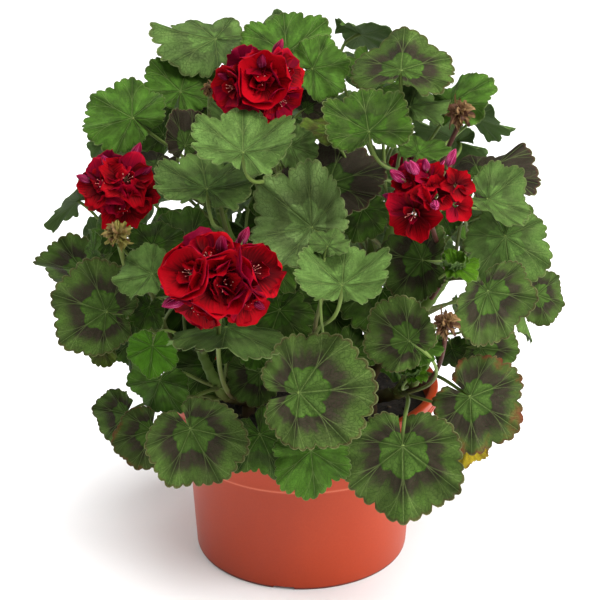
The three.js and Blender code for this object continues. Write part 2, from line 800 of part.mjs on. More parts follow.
// A stem with its leaves on their petioles and the stalks of its flowers, as one body.
function stemBody(stem) {
  const [x, y] = stem.foot;
  const spine = stem.curve.getSpacedPoints(12);
  const root = new THREE.LineCurve3(
    vec(x, y, stem.soil - STEM_DEPTH),
    vec(x, y, stem.soil + 4),
  );
  const parts = [
    tube(root, STEM_RADIUS, STEM_SIDES, 1),
    tube(new THREE.CatmullRomCurve3(spine.slice(0, 7)), STEM_RADIUS, STEM_SIDES, 4),
    tube(new THREE.CatmullRomCurve3(spine.slice(5)), SHOOT_RADIUS, STEM_SIDES, 4),
  ];
  for (const leaf of leaves) {
    if (leaf.stem !== stem.name) continue;
    parts.push(bladeOf(leaf), tube(leaf.petiole.curve, PETIOLE_RADIUS, 3, 3));
  }
  for (const { stalk, stem: bearer } of [...BLOOMS, ...SPENT]) {
    if (bearer === stem.name) parts.push(tube(stalk.curve, STALK_RADIUS, 4, 5));
  }
  return fused(parts);
}

// A floret's ring of petals as one blade on a short pedicel: a flat middle with a corner in each
// notch, and from each of its sides a petal that stands up to two points at its free end.
const PETALS = 5;
const PETAL = 0.8; // thickness
const PETAL_NOTCH = 0.42; // how far out two petals part, of their length
const PETAL_RISE = 0.42; // how steeply the petals stand up into a cup
const PEDICEL_RADIUS = 1.4;

function ringOfPetals(middle, normal, length, spin, steep) {
  const first = Math.abs(normal.z) > 0.9 ? vec(1, 0, 0) : UP.clone();
  const across = vec().crossVectors(first, normal).normalize();
  const upward = vec().crossVectors(normal, across);
  const place = (angle, reach, rise) =>
    middle
      .clone()
      .addScaledVector(across, reach * Math.cos(angle))
      .addScaledVector(upward, reach * Math.sin(angle))
      .addScaledVector(normal, rise);
  const points = [];
  for (const lift of [PETAL / 2, -PETAL / 2]) {
    for (let i = 0; i < PETALS; i++) {
      const turn = (spin + (360 / PETALS) * i) * DEG;
      const tip = steep * length * (i % 2 ? 1.2 : 0.8);
      points.push(place(turn - Math.PI / PETALS, PETAL_NOTCH * length, lift));
      points.push(place(turn - 0.4, length, tip + lift));
      points.push(place(turn + 0.4, length, tip + lift));
    }
  }
  const rim = 3 * PETALS;
  const top = [[0, 3, 6], [0, 6, 9], [0, 9, 12]];
  for (let k = 0; k < rim; k += 3) {
    const next = (k + 3) % rim;
    top.push([k, k + 1, k + 2], [k, k + 2, next]);
  }
  const faces = [];
  for (const [a, b, c] of top) faces.push(a, b, c, rim + a, rim + c, rim + b);
  for (let a = 0; a < rim; a++) {
    const b = (a + 1) % rim;
    faces.push(a, rim + a, b, b, rim + a, rim + b);
  }
  const geometry = new THREE.BufferGeometry().setFromPoints(points);
  geometry.setIndex(faces);
  return solid(geometry);
}

// A head of bloom: florets all round a small core.
const FAR_FLORETS = 2;
const FLORET_SHARE = 0.82; // of a floret's seen width, so that neighbours part
const FLORET_SEAT = 0.62; // where a floret sits, of the head's half sizes
const DOUBLE_FLORET = 34; // width from which a floret has an inner ring of petals

function bloomBody(bloom) {
  const [wide, high, deep] = bloom.size;
  const core = new THREE.IcosahedronGeometry(1, 0);
  core.scale(CORE * wide, CORE * deep, CORE * high);
  core.translate(...bloom.middlePoint.toArray());
  const parts = [solid(core)];
  const half = vec(wide, deep, high);
  const put = (direction, width, spin) => {
    const normal = direction.clone().divide(half).normalize();
    const middle = direction.clone().multiplyScalar(FLORET_SEAT).add(bloom.middlePoint);
    parts.push(ringOfPetals(middle, normal, FLORET_SHARE * (width / 2), spin, PETAL_RISE));
    if (width >= DOUBLE_FLORET) {
      middle.addScaledVector(normal, 2.5);
      parts.push(ringOfPetals(middle, normal, 0.6 * (width / 2), spin + 36, 2 * PETAL_RISE));
    }
    const root = direction.clone().multiplyScalar(0.2).add(bloom.middlePoint);
    parts.push(tube(new THREE.LineCurve3(root, middle), PEDICEL_RADIUS, 3, 1));
  };
  (bloom.florets ?? []).forEach(([right, down, width], i) => {
    const { toEye } = view(right, down);
    const flat = seen(right, down, -bloom.middlePoint.y).sub(bloom.middlePoint);
    const spare = 1 - (flat.x / wide) ** 2 - (flat.z / high) ** 2;
    const direction = flat.addScaledVector(toEye, deep * Math.sqrt(Math.max(0.06, spare)));
    direction.multiplyScalar(1 / Math.max(1, direction.clone().divide(half).length()));
    put(direction, width, 40 * i);
  });
  const round = bloom.florets ? [20, 160] : [0, 360];
  const count = bloom.florets ? FAR_FLORETS : 3 * FAR_FLORETS;
  for (let i = 0; i < count; i++) {
    const angle = (round[0] + ((round[1] - round[0]) * (i + 0.5)) / count) * DEG;
    const rise = i % 2 ? 0.75 : 0.1;
    const flat = Math.sqrt(1 - rise * rise);
    const direction = vec(Math.cos(angle) * flat, Math.sin(angle) * flat, rise).multiply(half);
    put(direction, high, 25 * i);
  }
  return fused(parts);
}

// A dried head: beaks that stand out from a small core.
function spentBody(head) {
  const core = new THREE.IcosahedronGeometry(head.size * SPENT_CORE, 0);
  core.translate(...head.middlePoint.toArray());
  const parts = [solid(core)];
  for (let i = 0; i < head.spikes; i++) {
    const rise = 1 - (1.35 * (i + 0.5)) / head.spikes;
    const flat = Math.sqrt(1 - rise * rise);
    const angle = 2.4 * i;
    const out = vec(flat * Math.cos(angle), flat * Math.sin(angle), rise);
    const length = head.size * (0.95 + 0.45 * frac(0.618 * i));
    const spike = new THREE.ConeGeometry(head.size * 0.18, length, 3);
    spike.translate(0, length / 2, 0);
    spike.applyQuaternion(new THREE.Quaternion().setFromUnitVectors(vec(0, 1, 0), out));
    spike.translate(...head.middlePoint.toArray());
    parts.push(solid(spike));
  }
  return fused(parts);
}

const group = new THREE.Group();
function piece(name, body, color, roughness) {
  const material = new THREE.MeshStandardMaterial({ color, roughness, metalness: 0 });
  const mesh = new THREE.Mesh(geometryOf(body), material);
  mesh.name = name;
  group.add(mesh);
}

piece("pot", potBody(), 0xa8462f, 0.5);
piece("soil", soilBody(STEMS.map(({ foot }) => vec(foot[0], foot[1], 0))), 0x2a201a, 0.95);
for (const stem of STEMS) piece(stem.name, stemBody(stem), 0x4a7a34, 0.6);
for (const bloom of BLOOMS) piece(bloom.name, bloomBody(bloom), 0xa00016, 0.75);
for (const head of SPENT) piece(head.name, spentBody(head), 0x967046, 0.85);

export default group;
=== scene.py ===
import math
from functools import partial

import bmesh
import bpy
import numpy as np
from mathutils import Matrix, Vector, noise


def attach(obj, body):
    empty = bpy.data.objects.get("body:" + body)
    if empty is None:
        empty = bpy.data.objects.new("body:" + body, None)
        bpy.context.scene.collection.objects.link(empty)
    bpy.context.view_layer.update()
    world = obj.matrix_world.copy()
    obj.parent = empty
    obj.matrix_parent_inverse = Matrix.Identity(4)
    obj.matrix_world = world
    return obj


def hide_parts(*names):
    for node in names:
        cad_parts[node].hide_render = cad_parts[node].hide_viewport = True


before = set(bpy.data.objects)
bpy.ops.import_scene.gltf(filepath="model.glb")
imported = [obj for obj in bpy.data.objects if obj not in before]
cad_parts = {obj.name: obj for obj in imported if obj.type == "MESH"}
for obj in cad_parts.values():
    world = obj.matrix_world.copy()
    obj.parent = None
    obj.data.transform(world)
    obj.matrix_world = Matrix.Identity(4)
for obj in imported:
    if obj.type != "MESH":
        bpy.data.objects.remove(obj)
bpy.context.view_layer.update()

# THE POT
# A round, thin-walled flower pot, moulded in one piece from terracotta-coloured plastic. It has a
# flat foot with four drainage notches, a step half way up, a flared collar and a ribbed rim band.
# Sizes are in millimetres and turn to metres where a mesh is made.
MM = 0.001
POT_HEIGHT = 123.0
RIM_RADIUS = 95.0
RIM_BAND = 10.0
RIM_LIP = 6.0
LOW_RIB = 2.2
HIGH_RIB = 4.6
RIB_DEPTH = 0.7
STEP_HEIGHT = 76.5
STEP_RADIUS = 80.5
STEP_LEDGE = 0.8
BASE_RADIUS = 75.3
WALL = 1.6
FLOOR = 3.0
NOTCH_WIDTH = 14.5
NOTCH_HEIGHT = 2.0
NOTCH_DEPTH = 6.0
FIRST_NOTCH = -99.4
POT_SIDES = 192


class Skin:
    """Points, triangles and painted values, gathered into the mesh of one piece."""

    def __init__(self):
        self.points, self.faces, self.coats, self.places = [], [], [], []
        self.paints = {}
        self.count = 0

    def add(self, points, faces, coat=0, place=None, **paints):
        points = np.asarray(points, float).reshape(-1, 3)
        n = len(points)
        self.points.append(points)
        self.faces.append(np.asarray(faces, int) + self.count)
        self.coats.append(np.full(len(faces), coat))
        self.places.append(np.zeros((n, 2)) if place is None else np.asarray(place).reshape(n, 2))
        for name in set(self.paints) | set(paints):
            before = self.paints.setdefault(name, [np.zeros(self.count)])
            before.append(np.broadcast_to(np.asarray(paints.get(name, 0.0), float).ravel(), n))
        self.count += n

    def piece(self, name, node, slot, materials, sharp=50):
        mesh = bpy.data.meshes.new(name)
        points, faces = np.concatenate(self.points) * MM, np.concatenate(self.faces)
        mesh.vertices.add(len(points))
        mesh.vertices.foreach_set("co", points.astype(np.float32).ravel())
        mesh.loops.add(faces.size)
        mesh.loops.foreach_set("vertex_index", faces.astype(np.int32).ravel())
        mesh.polygons.add(len(faces))
        mesh.polygons.foreach_set("loop_start", np.arange(0, faces.size, 3, dtype=np.int32))
        mesh.polygons.foreach_set("material_index", np.concatenate(self.coats).astype(np.int32))
        mesh.update(calc_edges=True)
        places = np.concatenate(self.places)[faces.ravel()]
        mesh.uv_layers.new(name="place").data.foreach_set("uv", places.astype(np.float32).ravel())
        for paint, values in self.paints.items():
            layer = mesh.attributes.new(paint, "FLOAT", "POINT")
            layer.data.foreach_set("value", np.concatenate(values).astype(np.float32))
        for material in materials:
            mesh.materials.append(material)
        mesh.set_sharp_from_angle(angle=math.radians(sharp))
        piece = bpy.data.objects.new(name, mesh)
        bpy.context.scene.collection.objects.link(piece)
        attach(piece, "root")
        if node:
            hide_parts(node)
        return piece


def grid(rows, columns, closed=False):
    """Two triangles for each cell of a grid of points, closed round its columns or open."""
    row, column = np.meshgrid(
        np.arange(rows - 1), np.arange(columns if closed else columns - 1), indexing="ij"
    )
    a, b = row * columns + column, row * columns + (column + 1) % columns
    c, d = a + columns, b + columns
    return np.concatenate([np.stack(t, -1).reshape(-1, 3) for t in ((a, b, d), (a, d, c))])


def sheet(upper, under):
    """The points and triangles of a thin leaf or petal: two faces and the edge between them."""
    rows, columns = upper.shape[:2]
    n, cells = rows * columns, grid(rows, columns)
    index = np.arange(n).reshape(rows, columns)
    loop = np.concatenate([index[0], index[1:, -1], index[-1, -2::-1], index[-2:0:-1, 0]])
    after = np.roll(loop, -1)
    edge = [np.stack([loop, after + n, after], -1), np.stack([loop, loop + n, after + n], -1)]
    points = np.concatenate([upper.reshape(-1, 3), under.reshape(-1, 3)])
    return points, np.concatenate([cells, cells[:, ::-1] + n, *edge])


def smooth(low, high, value):
    share = np.clip((np.asarray(value, float) - low) / (high - low), 0, 1)
    return share * share * (3 - 2 * share)


band_foot = POT_HEIGHT - RIM_BAND
inner_rim = RIM_RADIUS - RIM_LIP
wall_lean = (STEP_RADIUS - STEP_LEDGE - BASE_RADIUS) / (STEP_HEIGHT - STEP_LEDGE)
pot_profile = [
    (0.01, 0), (BASE_RADIUS - NOTCH_DEPTH, 0), (BASE_RADIUS - 1.2, 0), (BASE_RADIUS - 0.35, 0.35),
    (BASE_RADIUS, 1.2),
]
pot_profile += [(BASE_RADIUS + wall_lean * z, z) for z in (2.2, 4.0, STEP_HEIGHT - STEP_LEDGE - 1)]
pot_profile += [
    (STEP_RADIUS - STEP_LEDGE, STEP_HEIGHT - STEP_LEDGE), (STEP_RADIUS - 0.1, STEP_HEIGHT - 0.25),
    (STEP_RADIUS, STEP_HEIGHT + 0.1), (STEP_RADIUS + 0.4, STEP_HEIGHT + 1.2),
    (RIM_RADIUS - WALL, band_foot - WALL), (RIM_RADIUS - 0.3, band_foot - 0.4),
    (RIM_RADIUS - 0.1, band_foot + 0.3),
]
for rib in (band_foot + LOW_RIB, band_foot + HIGH_RIB):
    pot_profile += [(RIM_RADIUS - 0.1, rib - 0.7), (RIM_RADIUS - RIB_DEPTH, rib - 0.3)]
    pot_profile += [(RIM_RADIUS - RIB_DEPTH, rib + 0.3), (RIM_RADIUS - 0.1, rib + 0.7)]
pot_profile += [
    (RIM_RADIUS - 0.1, POT_HEIGHT - 1.4), (RIM_RADIUS - 0.5, POT_HEIGHT - 0.5),
    (RIM_RADIUS - 1.4, POT_HEIGHT), (inner_rim + 1.2, POT_HEIGHT), (inner_rim + 0.2, POT_HEIGHT - 0.8),
    (inner_rim, POT_HEIGHT - 2), (inner_rim, band_foot), (STEP_RADIUS - STEP_LEDGE - WALL, STEP_HEIGHT),
    (BASE_RADIUS - WALL, FLOOR), (0.01, FLOOR),
]
half_notch = math.degrees(math.asin(NOTCH_WIDTH / 2 / BASE_RADIUS))
pot_angles = list(np.linspace(0, 360, POT_SIDES, endpoint=False))
for i in range(4):
    for edge in (FIRST_NOTCH + 90 * i - half_notch, FIRST_NOTCH + 90 * i + half_notch):
        pot_angles += [edge % 360 - 0.05, edge % 360 + 0.05]
pot_angles = np.radians(np.unique(np.round(np.array(pot_angles) % 360, 4)))
radius, height = np.array(pot_profile).T
radius, height = np.meshgrid(radius, pot_angles)[0], np.meshgrid(height, pot_angles)[0]
from_notch = (np.degrees(pot_angles)[:, None] - FIRST_NOTCH + 45) % 90 - 45
in_notch = (np.abs(from_notch) < half_notch) & (radius > BASE_RADIUS - NOTCH_DEPTH + 0.1)
height = np.where(in_notch & (height < NOTCH_HEIGHT), NOTCH_HEIGHT, height)
pot_turns = pot_angles[:, None]
pot_points = np.stack([radius * np.cos(pot_turns), radius * np.sin(pot_turns), height], -1)
pot_skin = Skin()
turns, rings = radius.shape
pot_faces = grid(turns + 1, rings) % (turns * rings)
outer = radius > BASE_RADIUS - 2
# Painted highlight: the ring of points on the step's ledge is painted lighter, as where the light catches
# the ledge.
on_step = outer & (np.abs(height - STEP_HEIGHT + 0.3) < 0.6) & (radius > STEP_RADIUS - 1)
# Painted shadow: the lowest edge of the foot is painted darker, as the shadow where the pot meets the floor.
at_foot = outer & (height < NOTCH_HEIGHT + 0.1)
pot_skin.add(pot_points, pot_faces[:, ::-1], worn=on_step * 1.0, damp=at_foot * 1.0)


class Nodes:
    """The nodes of a material, with the steps that several materials share."""

    def __init__(self, tree):
        self.tree = tree

    def feed(self, made, inputs):
        """Gives a node its inputs, each a plain value or what another node puts out."""
        for key, value in inputs.items():
            if isinstance(value, bpy.types.NodeSocket):
                self.tree.links.new(value, made.inputs[key])
            else:
                made.inputs[key].default_value = value

    def add(self, kind, inputs=None, **settings):
        made = self.tree.nodes.new("ShaderNode" + kind)
        for key, value in settings.items():
            setattr(made, key, value)
        self.feed(made, inputs or {})
        return made

    def here(self):
        return self.add("TexCoord").outputs["Object"]

    def paint(self, title):
        return self.add("Attribute", attribute_name=title).outputs["Fac"]

    def noise(self, where, scale, detail, **more):
        inputs = {"Vector": where, "Scale": scale, "Detail": detail, **more}
        return self.add("TexNoise", inputs).outputs["Fac"]

    def math(self, operation, *values):
        return self.add("Math", dict(enumerate(values)), operation=operation).outputs[0]

    def blend(self, share, first, second, way="MIX"):
        inputs = {0: share, 6: first, 7: second}
        return self.add("Mix", inputs, data_type="RGBA", blend_type=way).outputs[2]

    def ramp(self, source, stops):
        """A colour that follows a value through stops of (place, colour)."""
        made = self.add("ValToRGB", {"Fac": source})
        elements = made.color_ramp.elements
        while len(elements) < len(stops):
            elements.new(0.5)
        for element, (place, colour) in zip(elements, stops):
            element.position, element.color = place, (*colour, 1)
        return made.outputs["Color"]

    def shade(self, colour, relief, inputs):
        """Gives the shader its colour, its relief (height, strength, depth) and other inputs."""
        inputs = {"Base Color": colour, **inputs}
        if relief:
            bump = self.add("Bump", dict(zip(("Height", "Strength", "Distance"), relief)))
            inputs["Normal"] = bump.outputs[0]
        self.feed(self.tree.nodes["Principled BSDF"], inputs)


def new_material(name):
    material = bpy.data.materials.new(name)
    material.use_nodes = True
    return material, Nodes(material.node_tree)


pot_plastic, nodes = new_material("pot_plastic")
where = nodes.here()
flow = nodes.add("Mapping", {"Vector": where, "Scale": (14, 14, 5)}).outputs[0]
streaks = nodes.noise(flow, 1.4, 4.0)
mottle = nodes.add("Mix", {0: 0.35, 2: streaks, 3: nodes.noise(where, 900.0, 2.0)}).outputs[0]
plain = nodes.ramp(mottle, [
    (0.3, (0.31, 0.029, 0.005)), (0.55, (0.36, 0.036, 0.006)), (0.8, (0.41, 0.048, 0.010)),
])
# Painted highlight: the step's ledge is mixed towards a lighter terracotta.
worn = nodes.blend(nodes.paint("worn"), plain, (0.50, 0.105, 0.050, 1))
# Painted shadow: the foot's lowest edge is mixed towards a dark brown.
damp = nodes.blend(nodes.paint("damp"), worn, (0.11, 0.016, 0.008, 1))
dull = nodes.add("MapRange", {"Value": streaks, "To Min": 0.33, "To Max": 0.46}).outputs[0]
grain = nodes.noise(where, 2200.0, 3.0)
nodes.shade(damp, (grain, 0.12, 0.0003), {"Roughness": dull, "Specular IOR Level": 0.28})
pot_skin.piece("flower_pot", "pot", "pot", [pot_plastic], sharp=40)

# THE SOIL
# Dark potting soil, loose and crumbly, pressed a little round the stems. It fills the pot to a
# finger's width under the rim and holds the stems' feet.
SOIL_HEIGHT = 108.0
SOIL_HEAP = 4.0
CLUMP = 1.6
SOIL_RINGS = 80
SOIL_SIDES = 210
LOOSE_CRUMBS = 420


def soil_top(x, y):
    out = np.hypot(x, y) / inner_rim
    clumps = np.sin(0.31 * x + 1.3) * np.cos(0.27 * y) + np.sin(0.17 * (x - y))
    return SOIL_HEIGHT + SOIL_HEAP * (1 - out * out) + CLUMP * 0.5 * clumps * (1 - out**4)


soil_skin = Skin()
slope = (inner_rim - STEP_RADIUS + STEP_LEDGE + WALL) / (band_foot - STEP_HEIGHT)
soil_edge = inner_rim - slope * (band_foot - SOIL_HEIGHT) - 0.1
shares, turns = np.linspace(0.004, 1, SOIL_RINGS), np.linspace(0, 2 * np.pi, SOIL_SIDES, endpoint=False)
share, turn = np.meshgrid(shares, turns)
x, y = soil_edge * share * np.cos(turn), soil_edge * share * np.sin(turn)
crumb = np.array([
    noise.noise((a * 0.55, b * 0.55, 3.0)) * 0.7 + abs(noise.noise((a * 0.21, b * 0.21, 9.0))) * 1.6
    for a, b in zip(x.ravel(), y.ravel())
]).reshape(x.shape)
z = soil_top(x, y) - 0.6 + crumb * (1 - share**8)
top_faces = grid(SOIL_SIDES + 1, SOIL_RINGS) % (SOIL_SIDES * SOIL_RINGS)
soil_skin.add(np.stack([x, y, z], -1), top_faces)
rim_line = np.stack([x[:, -1], y[:, -1], z[:, -1]], -1)
foot_line = rim_line * [0.97, 0.97, 0] + [0, 0, SOIL_HEIGHT - 12]
soil_skin.add(np.stack([rim_line, foot_line], 1), grid(SOIL_SIDES + 1, 2) % (2 * SOIL_SIDES))
rng = np.random.default_rng(11)


def ball(detail):
    """A round body's points and triangles, 1 across its half."""
    made = bmesh.new()
    bmesh.ops.create_icosphere(made, subdivisions=detail, radius=1)
    points = np.array([point.co[:] for point in made.verts])
    faces = np.array([[point.index for point in face.verts] for face in made.faces])
    made.free()
    return points, faces


crumb_ball, crumb_faces = ball(1)
for _ in range(LOOSE_CRUMBS):
    out, angle = (soil_edge - 3) * math.sqrt(rng.random()), 2 * np.pi * rng.random()
    x, y = out * math.cos(angle), out * math.sin(angle)
    size = 0.7 + 2.0 * rng.random() ** 3
    lump = crumb_ball * size * (0.7 + 0.6 * rng.random((len(crumb_ball), 1))) * (1, 1, 0.7)
    soil_skin.add(lump + (x, y, soil_top(x, y) + 0.1 * size), crumb_faces, light=rng.random() ** 3)
soil, nodes = new_material("potting_soil")
clods = nodes.noise(nodes.here(), 260.0, 6.0, Roughness=0.7)
tint = nodes.ramp(nodes.math("ADD", clods, nodes.paint("light")), [
    (0.35, (0.006, 0.004, 0.003)), (0.7, (0.028, 0.018, 0.012)), (1.0, (0.10, 0.07, 0.045)),
])
nodes.shade(tint, (clods, 0.9, 0.001), {"Roughness": 0.93})
soil_skin.piece("potting_soil", "soil", "soil", [soil], sharp=180)

# THE STEMS AND LEAF STALKS
# Ten soft, jointed stems stand in the soil, brown and woody at the foot and green above. Each
# bears its leaves on long thin stalks, with a pair of small bracts where a stalk leaves the stem.
# A place is given as (right, down) in a picture 600 wide and high that looks down on the plant.
EYE = np.array([-1.1, -880.0, 507.0])
EYE_PITCH = math.radians(20.3)
EYE_FOCAL = 1375.0
PICTURE = 600
DOME = np.array([172.0, 146.0, 160.0])
DOME_MIDDLE = 205.0
UP = np.array([0.0, 0.0, 1.0])
GAP = 0.3
STEM_RADIUS = 4.4
SHOOT_RADIUS = 3.2
STEM_DEPTH = 26.0

# Each leaf: right, down, how far behind the dome's front, width, how open it is to the eye, the
# clock directions in which its face leans and its midrib runs, and the way it is coloured.
STEMS = {
    "stem_top_left": dict(foot=(-17, 26), knee=(240, 270, 10), head=(205, 165, 5), leaves=[
        (200, 38, 0, 58, 0.5, 0, 275, "grey"),
        (183, 82, 4, 46, 0.8, 0, 15, "bright"),
        (122, 112, 0, 48, 0.82, 340, 300, "bright"),
        (188, 137, 26, 36, 0.75, 70, 20, "deep"),
        (205, 180, 12, 54, 0.55, 0, 350, "grey"),
    ]),
    "stem_top": dict(foot=(4, 14), knee=(292, 270, 5), head=(285, 150, 12), leaves=[
        (286, 43, 8, 50, 0.68, 0, 355, "bright"),
        (322, 67, 0, 36, 0.9, 45, 80, "bright"),
        (238, 118, 14, 33, 0.62, 0, 350, "grey"),
        (297, 148, 10, 25, 0.9, 90, 110, "grey"),
        (243, 142, 0, 54, 0.6, 0, 0, "pale"),
    ]),
    "stem_top_right": dict(foot=(25, 22), knee=(375, 285, 0), head=(405, 175, 5), leaves=[
        (402, 61, 0, 60, 0.55, 0, 5, "ring"),
        (412, 101, 16, 42, 0.5, 0, 20, "grey"),
        (461, 97, 0, 40, 0.62, 330, 55, "bright"),
        (367, 121, 0, 47, 0.75, 0, 350, "dark"),
        (333, 172, 24, 60, 0.7, 0, 20, "deep"),
        (325, 128, 22, 30, 0.5, 0, 300, "olive"),
        (424, 150, 22, 28, 0.5, 0, 60, "green"),
    ]),
    "stem_right": dict(foot=(47, 4), knee=(430, 300, 5), head=(468, 245, 20), leaves=[
        (491, 170, 6, 58, 0.5, 0, 60, "deep"),
        (498, 203, 0, 40, 0.7, 45, 110, "grey"),
        (507, 252, 0, 55, 0.85, 90, 172, "soft"),
        (492, 303, 14, 52, 0.75, 120, 160, "ring"),
        (544, 297, 24, 34, 0.8, 90, 110, "ring"),
        (411, 258, 26, 49, 0.82, 270, 280, "ring"),
        (461, 265, 20, 22, 0.6, 0, 80, "young"),
    ]),
    "stem_low_right": dict(foot=(47, -29), knee=(407, 388, 48), head=(440, 335, 62), leaves=[
        (400, 333, 14, 42, 0.93, 270, 310, "ring"),
        (422, 346, 2, 24, 0.85, 0, 100, "bright"),
        (454, 354, 16, 25, 0.72, 200, 160, "dark"),
        (490, 349, 12, 37, 0.9, 90, 95, "ring"),
        (482, 405, 4, 58, 0.88, 120, 125, "rust"),
        (467, 446, 24, 27, 0.85, 180, 200, "dying"),
        (403, 465, 2, 68, 0.95, 180, 180, "ring"),
    ]),
    "stem_front": dict(foot=(6, -40), knee=(316, 385, 78), head=(314, 335, 92), leaves=[
        (300, 217, -6, 56, 0.92, 300, 310, "faint"),
        (343, 275, -8, 48, 0.68, 0, 5, "pale"),
        (330, 242, 12, 22, 0.65, 0, 30, "grey"),
        (318, 391, -6, 65, 0.98, 90, 85, "ring"),
        (312, 462, 8, 44, 0.9, 180, 175, "bright"),
        (265, 445, 8, 46, 0.85, 200, 155, "dark"),
    ]),
    "stem_front_left": dict(foot=(-36, -31), knee=(222, 392, 62), head=(198, 345, 76), leaves=[
        (225, 334, 6, 60, 0.36, 0, 190, "grey"),
        (152, 353, 0, 29, 0.85, 210, 185, "fresh"),
        (157, 388, 26, 37, 0.8, 220, 200, "green"),
        (198, 442, 0, 55, 0.95, 180, 150, "ring"),
        (148, 440, 14, 40, 0.95, 200, 200, "singed"),
        (121, 420, 26, 38, 0.75, 250, 220, "ring"),
    ]),
    "stem_left": dict(foot=(-49, 1), knee=(165, 345, 20), head=(150, 290, 22), leaves=[
        (155, 240, 22, 30, 0.75, 0, 20, "dark"),
        (145, 270, 0, 35, 0.72, 330, 300, "pale"),
        (92, 307, 0, 54, 0.95, 270, 288, "ring"),
        (72, 268, 14, 46, 0.6, 200, 285, "ring"),
        (93, 247, 6, 20, 0.4, 270, 350, "green"),
        (110, 232, 30, 26, 0.85, 300, 330, "dark"),
        (100, 350, 22, 21, 0.85, 220, 210, "olive"),
        (128, 345, 32, 28, 0.7, 270, 230, "dark"),
    ]),
    "stem_back_left": dict(foot=(-22, 52), at=(-48, 66, 170), tip=(-58, 84, 240), leaves=[]),
    "stem_back_right": dict(foot=(34, 46), at=(48, 62, 175), tip=(56, 80, 245), leaves=[]),
}
# Heads of bloom: the stem that bears each, its place, its half sizes and its single flowers.
BLOOMS = {
    "bloom_top": dict(stem="stem_top", at=(260, 84, 4), size=(27, 22, 24), florets=[
        (262, 80, 30), (229, 88, 24), (292, 70, 24), (284, 104, 24), (240, 103, 18), (262, 62, 18),
    ]),
    "bloom_left": dict(stem="stem_left", at=(120, 189, 4), size=(25, 24, 22), florets=[
        (131, 173, 28), (97, 182, 24), (124, 214, 26), (148, 196, 18), (90, 200, 18),
    ]),
    "bloom_front": dict(stem="stem_front_left", at=(221, 282, -16), size=(34, 29, 26), florets=[
        (222, 284, 35), (186, 272, 27), (204, 248, 26), (260, 268, 29), (249, 303, 24),
        (195, 312, 26), (232, 245, 18),
    ]),
    "bloom_right": dict(stem="stem_right", at=(431, 199, 2), size=(28, 26, 22), florets=[
        (405, 221, 29), (462, 182, 18), (462, 206, 18), (430, 168, 17), (407, 166, 14),
        (394, 176, 14), (438, 194, 18),
    ]),
    "bloom_back_left": dict(stem="stem_back_left", middle=(-46, 112, 268), size=(25, 22, 22)),
    "bloom_back_right": dict(stem="stem_back_right", middle=(72, 100, 238), size=(23, 20, 20)),
}
SPENT = {
    "spent_head_top": dict(stem="stem_top_right", at=(460, 115, -4), size=8.5),
    "spent_head_left": dict(stem="stem_left", at=(119, 237, -6), size=8.5),
    "spent_head_low": dict(stem="stem_low_right", at=(446, 325, 2), size=8),
    "spent_head_small": dict(stem="stem_top_left", at=(210, 90, 26), size=5),
}


def unit(v):
    return v / np.linalg.norm(v, axis=-1, keepdims=True)


def frac(value):
    return value - math.floor(value)


def sight(right, down):
    """The direction of sight through a place of the picture, of length 1 along +Y."""
    a, b = (right - PICTURE / 2) / EYE_FOCAL, (PICTURE / 2 - down) / EYE_FOCAL
    depth = math.cos(EYE_PITCH) + b * math.sin(EYE_PITCH)
    return np.array([a / depth, 1, (-math.sin(EYE_PITCH) + b * math.cos(EYE_PITCH)) / depth])


def seen(right, down, near):
    return EYE + sight(right, down) * (-EYE[1] - near)


def dome_near(right, down):
    """How far in front of the axis the dome of leaves is met at a place of the picture."""
    ray = sight(right, down)
    d, o = ray / DOME, (EYE - [0, 0, DOME_MIDDLE]) / DOME
    half, far = (o @ d) / (d @ d), (o @ o - 1) / (d @ d)
    t = -half - math.sqrt(max(0, half * half - far))
    if EYE[2] + t * ray[2] < DOME_MIDDLE:
        half, far = (o[:2] @ d[:2]) / (d[:2] @ d[:2]), (o[:2] @ o[:2] - 1) / (d[:2] @ d[:2])
        t = -half - math.sqrt(max(0, half * half - far))
    return -EYE[1] - t


class Curve:
    """A smooth line through points, measured along its length."""

    def __init__(self, knots):
        self.knots = np.array(knots, float)
        self.line = np.array([self.at(t) for t in np.linspace(0, 1, 201)])
        steps = np.linalg.norm(np.diff(self.line, axis=0), axis=1)
        self.lengths = np.concatenate([[0], np.cumsum(steps)])

    def at(self, t):
        knots, place = self.knots, (len(self.knots) - 1) * t
        k = min(int(place), len(knots) - 2)
        weight = place - k
        p1, p2 = knots[k], knots[k + 1]
        p0 = knots[k - 1] if k > 0 else 2 * knots[0] - knots[1]
        p3 = knots[k + 2] if k + 2 < len(knots) else 2 * knots[-1] - knots[-2]
        d0, d1, d2 = (np.linalg.norm(b - a) ** 0.5 for a, b in ((p0, p1), (p1, p2), (p2, p3)))
        t1 = ((p1 - p0) / d0 - (p2 - p0) / (d0 + d1) + (p2 - p1) / d1) * d1
        t2 = ((p2 - p1) / d1 - (p3 - p1) / (d1 + d2) + (p3 - p2) / d2) * d1
        c2, c3 = -3 * p1 + 3 * p2 - 2 * t1 - t2, 2 * p1 - 2 * p2 + t1 + t2
        return p1 + weight * (t1 + weight * (c2 + weight * c3))

    def t_of(self, share):
        return np.interp(share * self.lengths[-1], self.lengths, np.linspace(0, 1, 201))

    def along(self, share):
        """The point at a share of the length."""
        return self.at(min(max(self.t_of(share), 0), 1))

    def heading(self, share):
        t = self.t_of(share)
        return unit(self.at(min(1, t + 0.0001)) - self.at(max(0, t - 0.0001)))


def facing(right, down):
    """What faces the eye at a place: the way to the eye, and a call for a clock direction."""
    to_eye = -unit(sight(right, down))
    across = unit(np.array([1.0, 0, 0]) - to_eye[0] * to_eye)
    upward = np.cross(to_eye, across)

    def clock(hour):
        return across * math.sin(math.radians(hour)) + upward * math.cos(math.radians(hour))

    return to_eye, clock


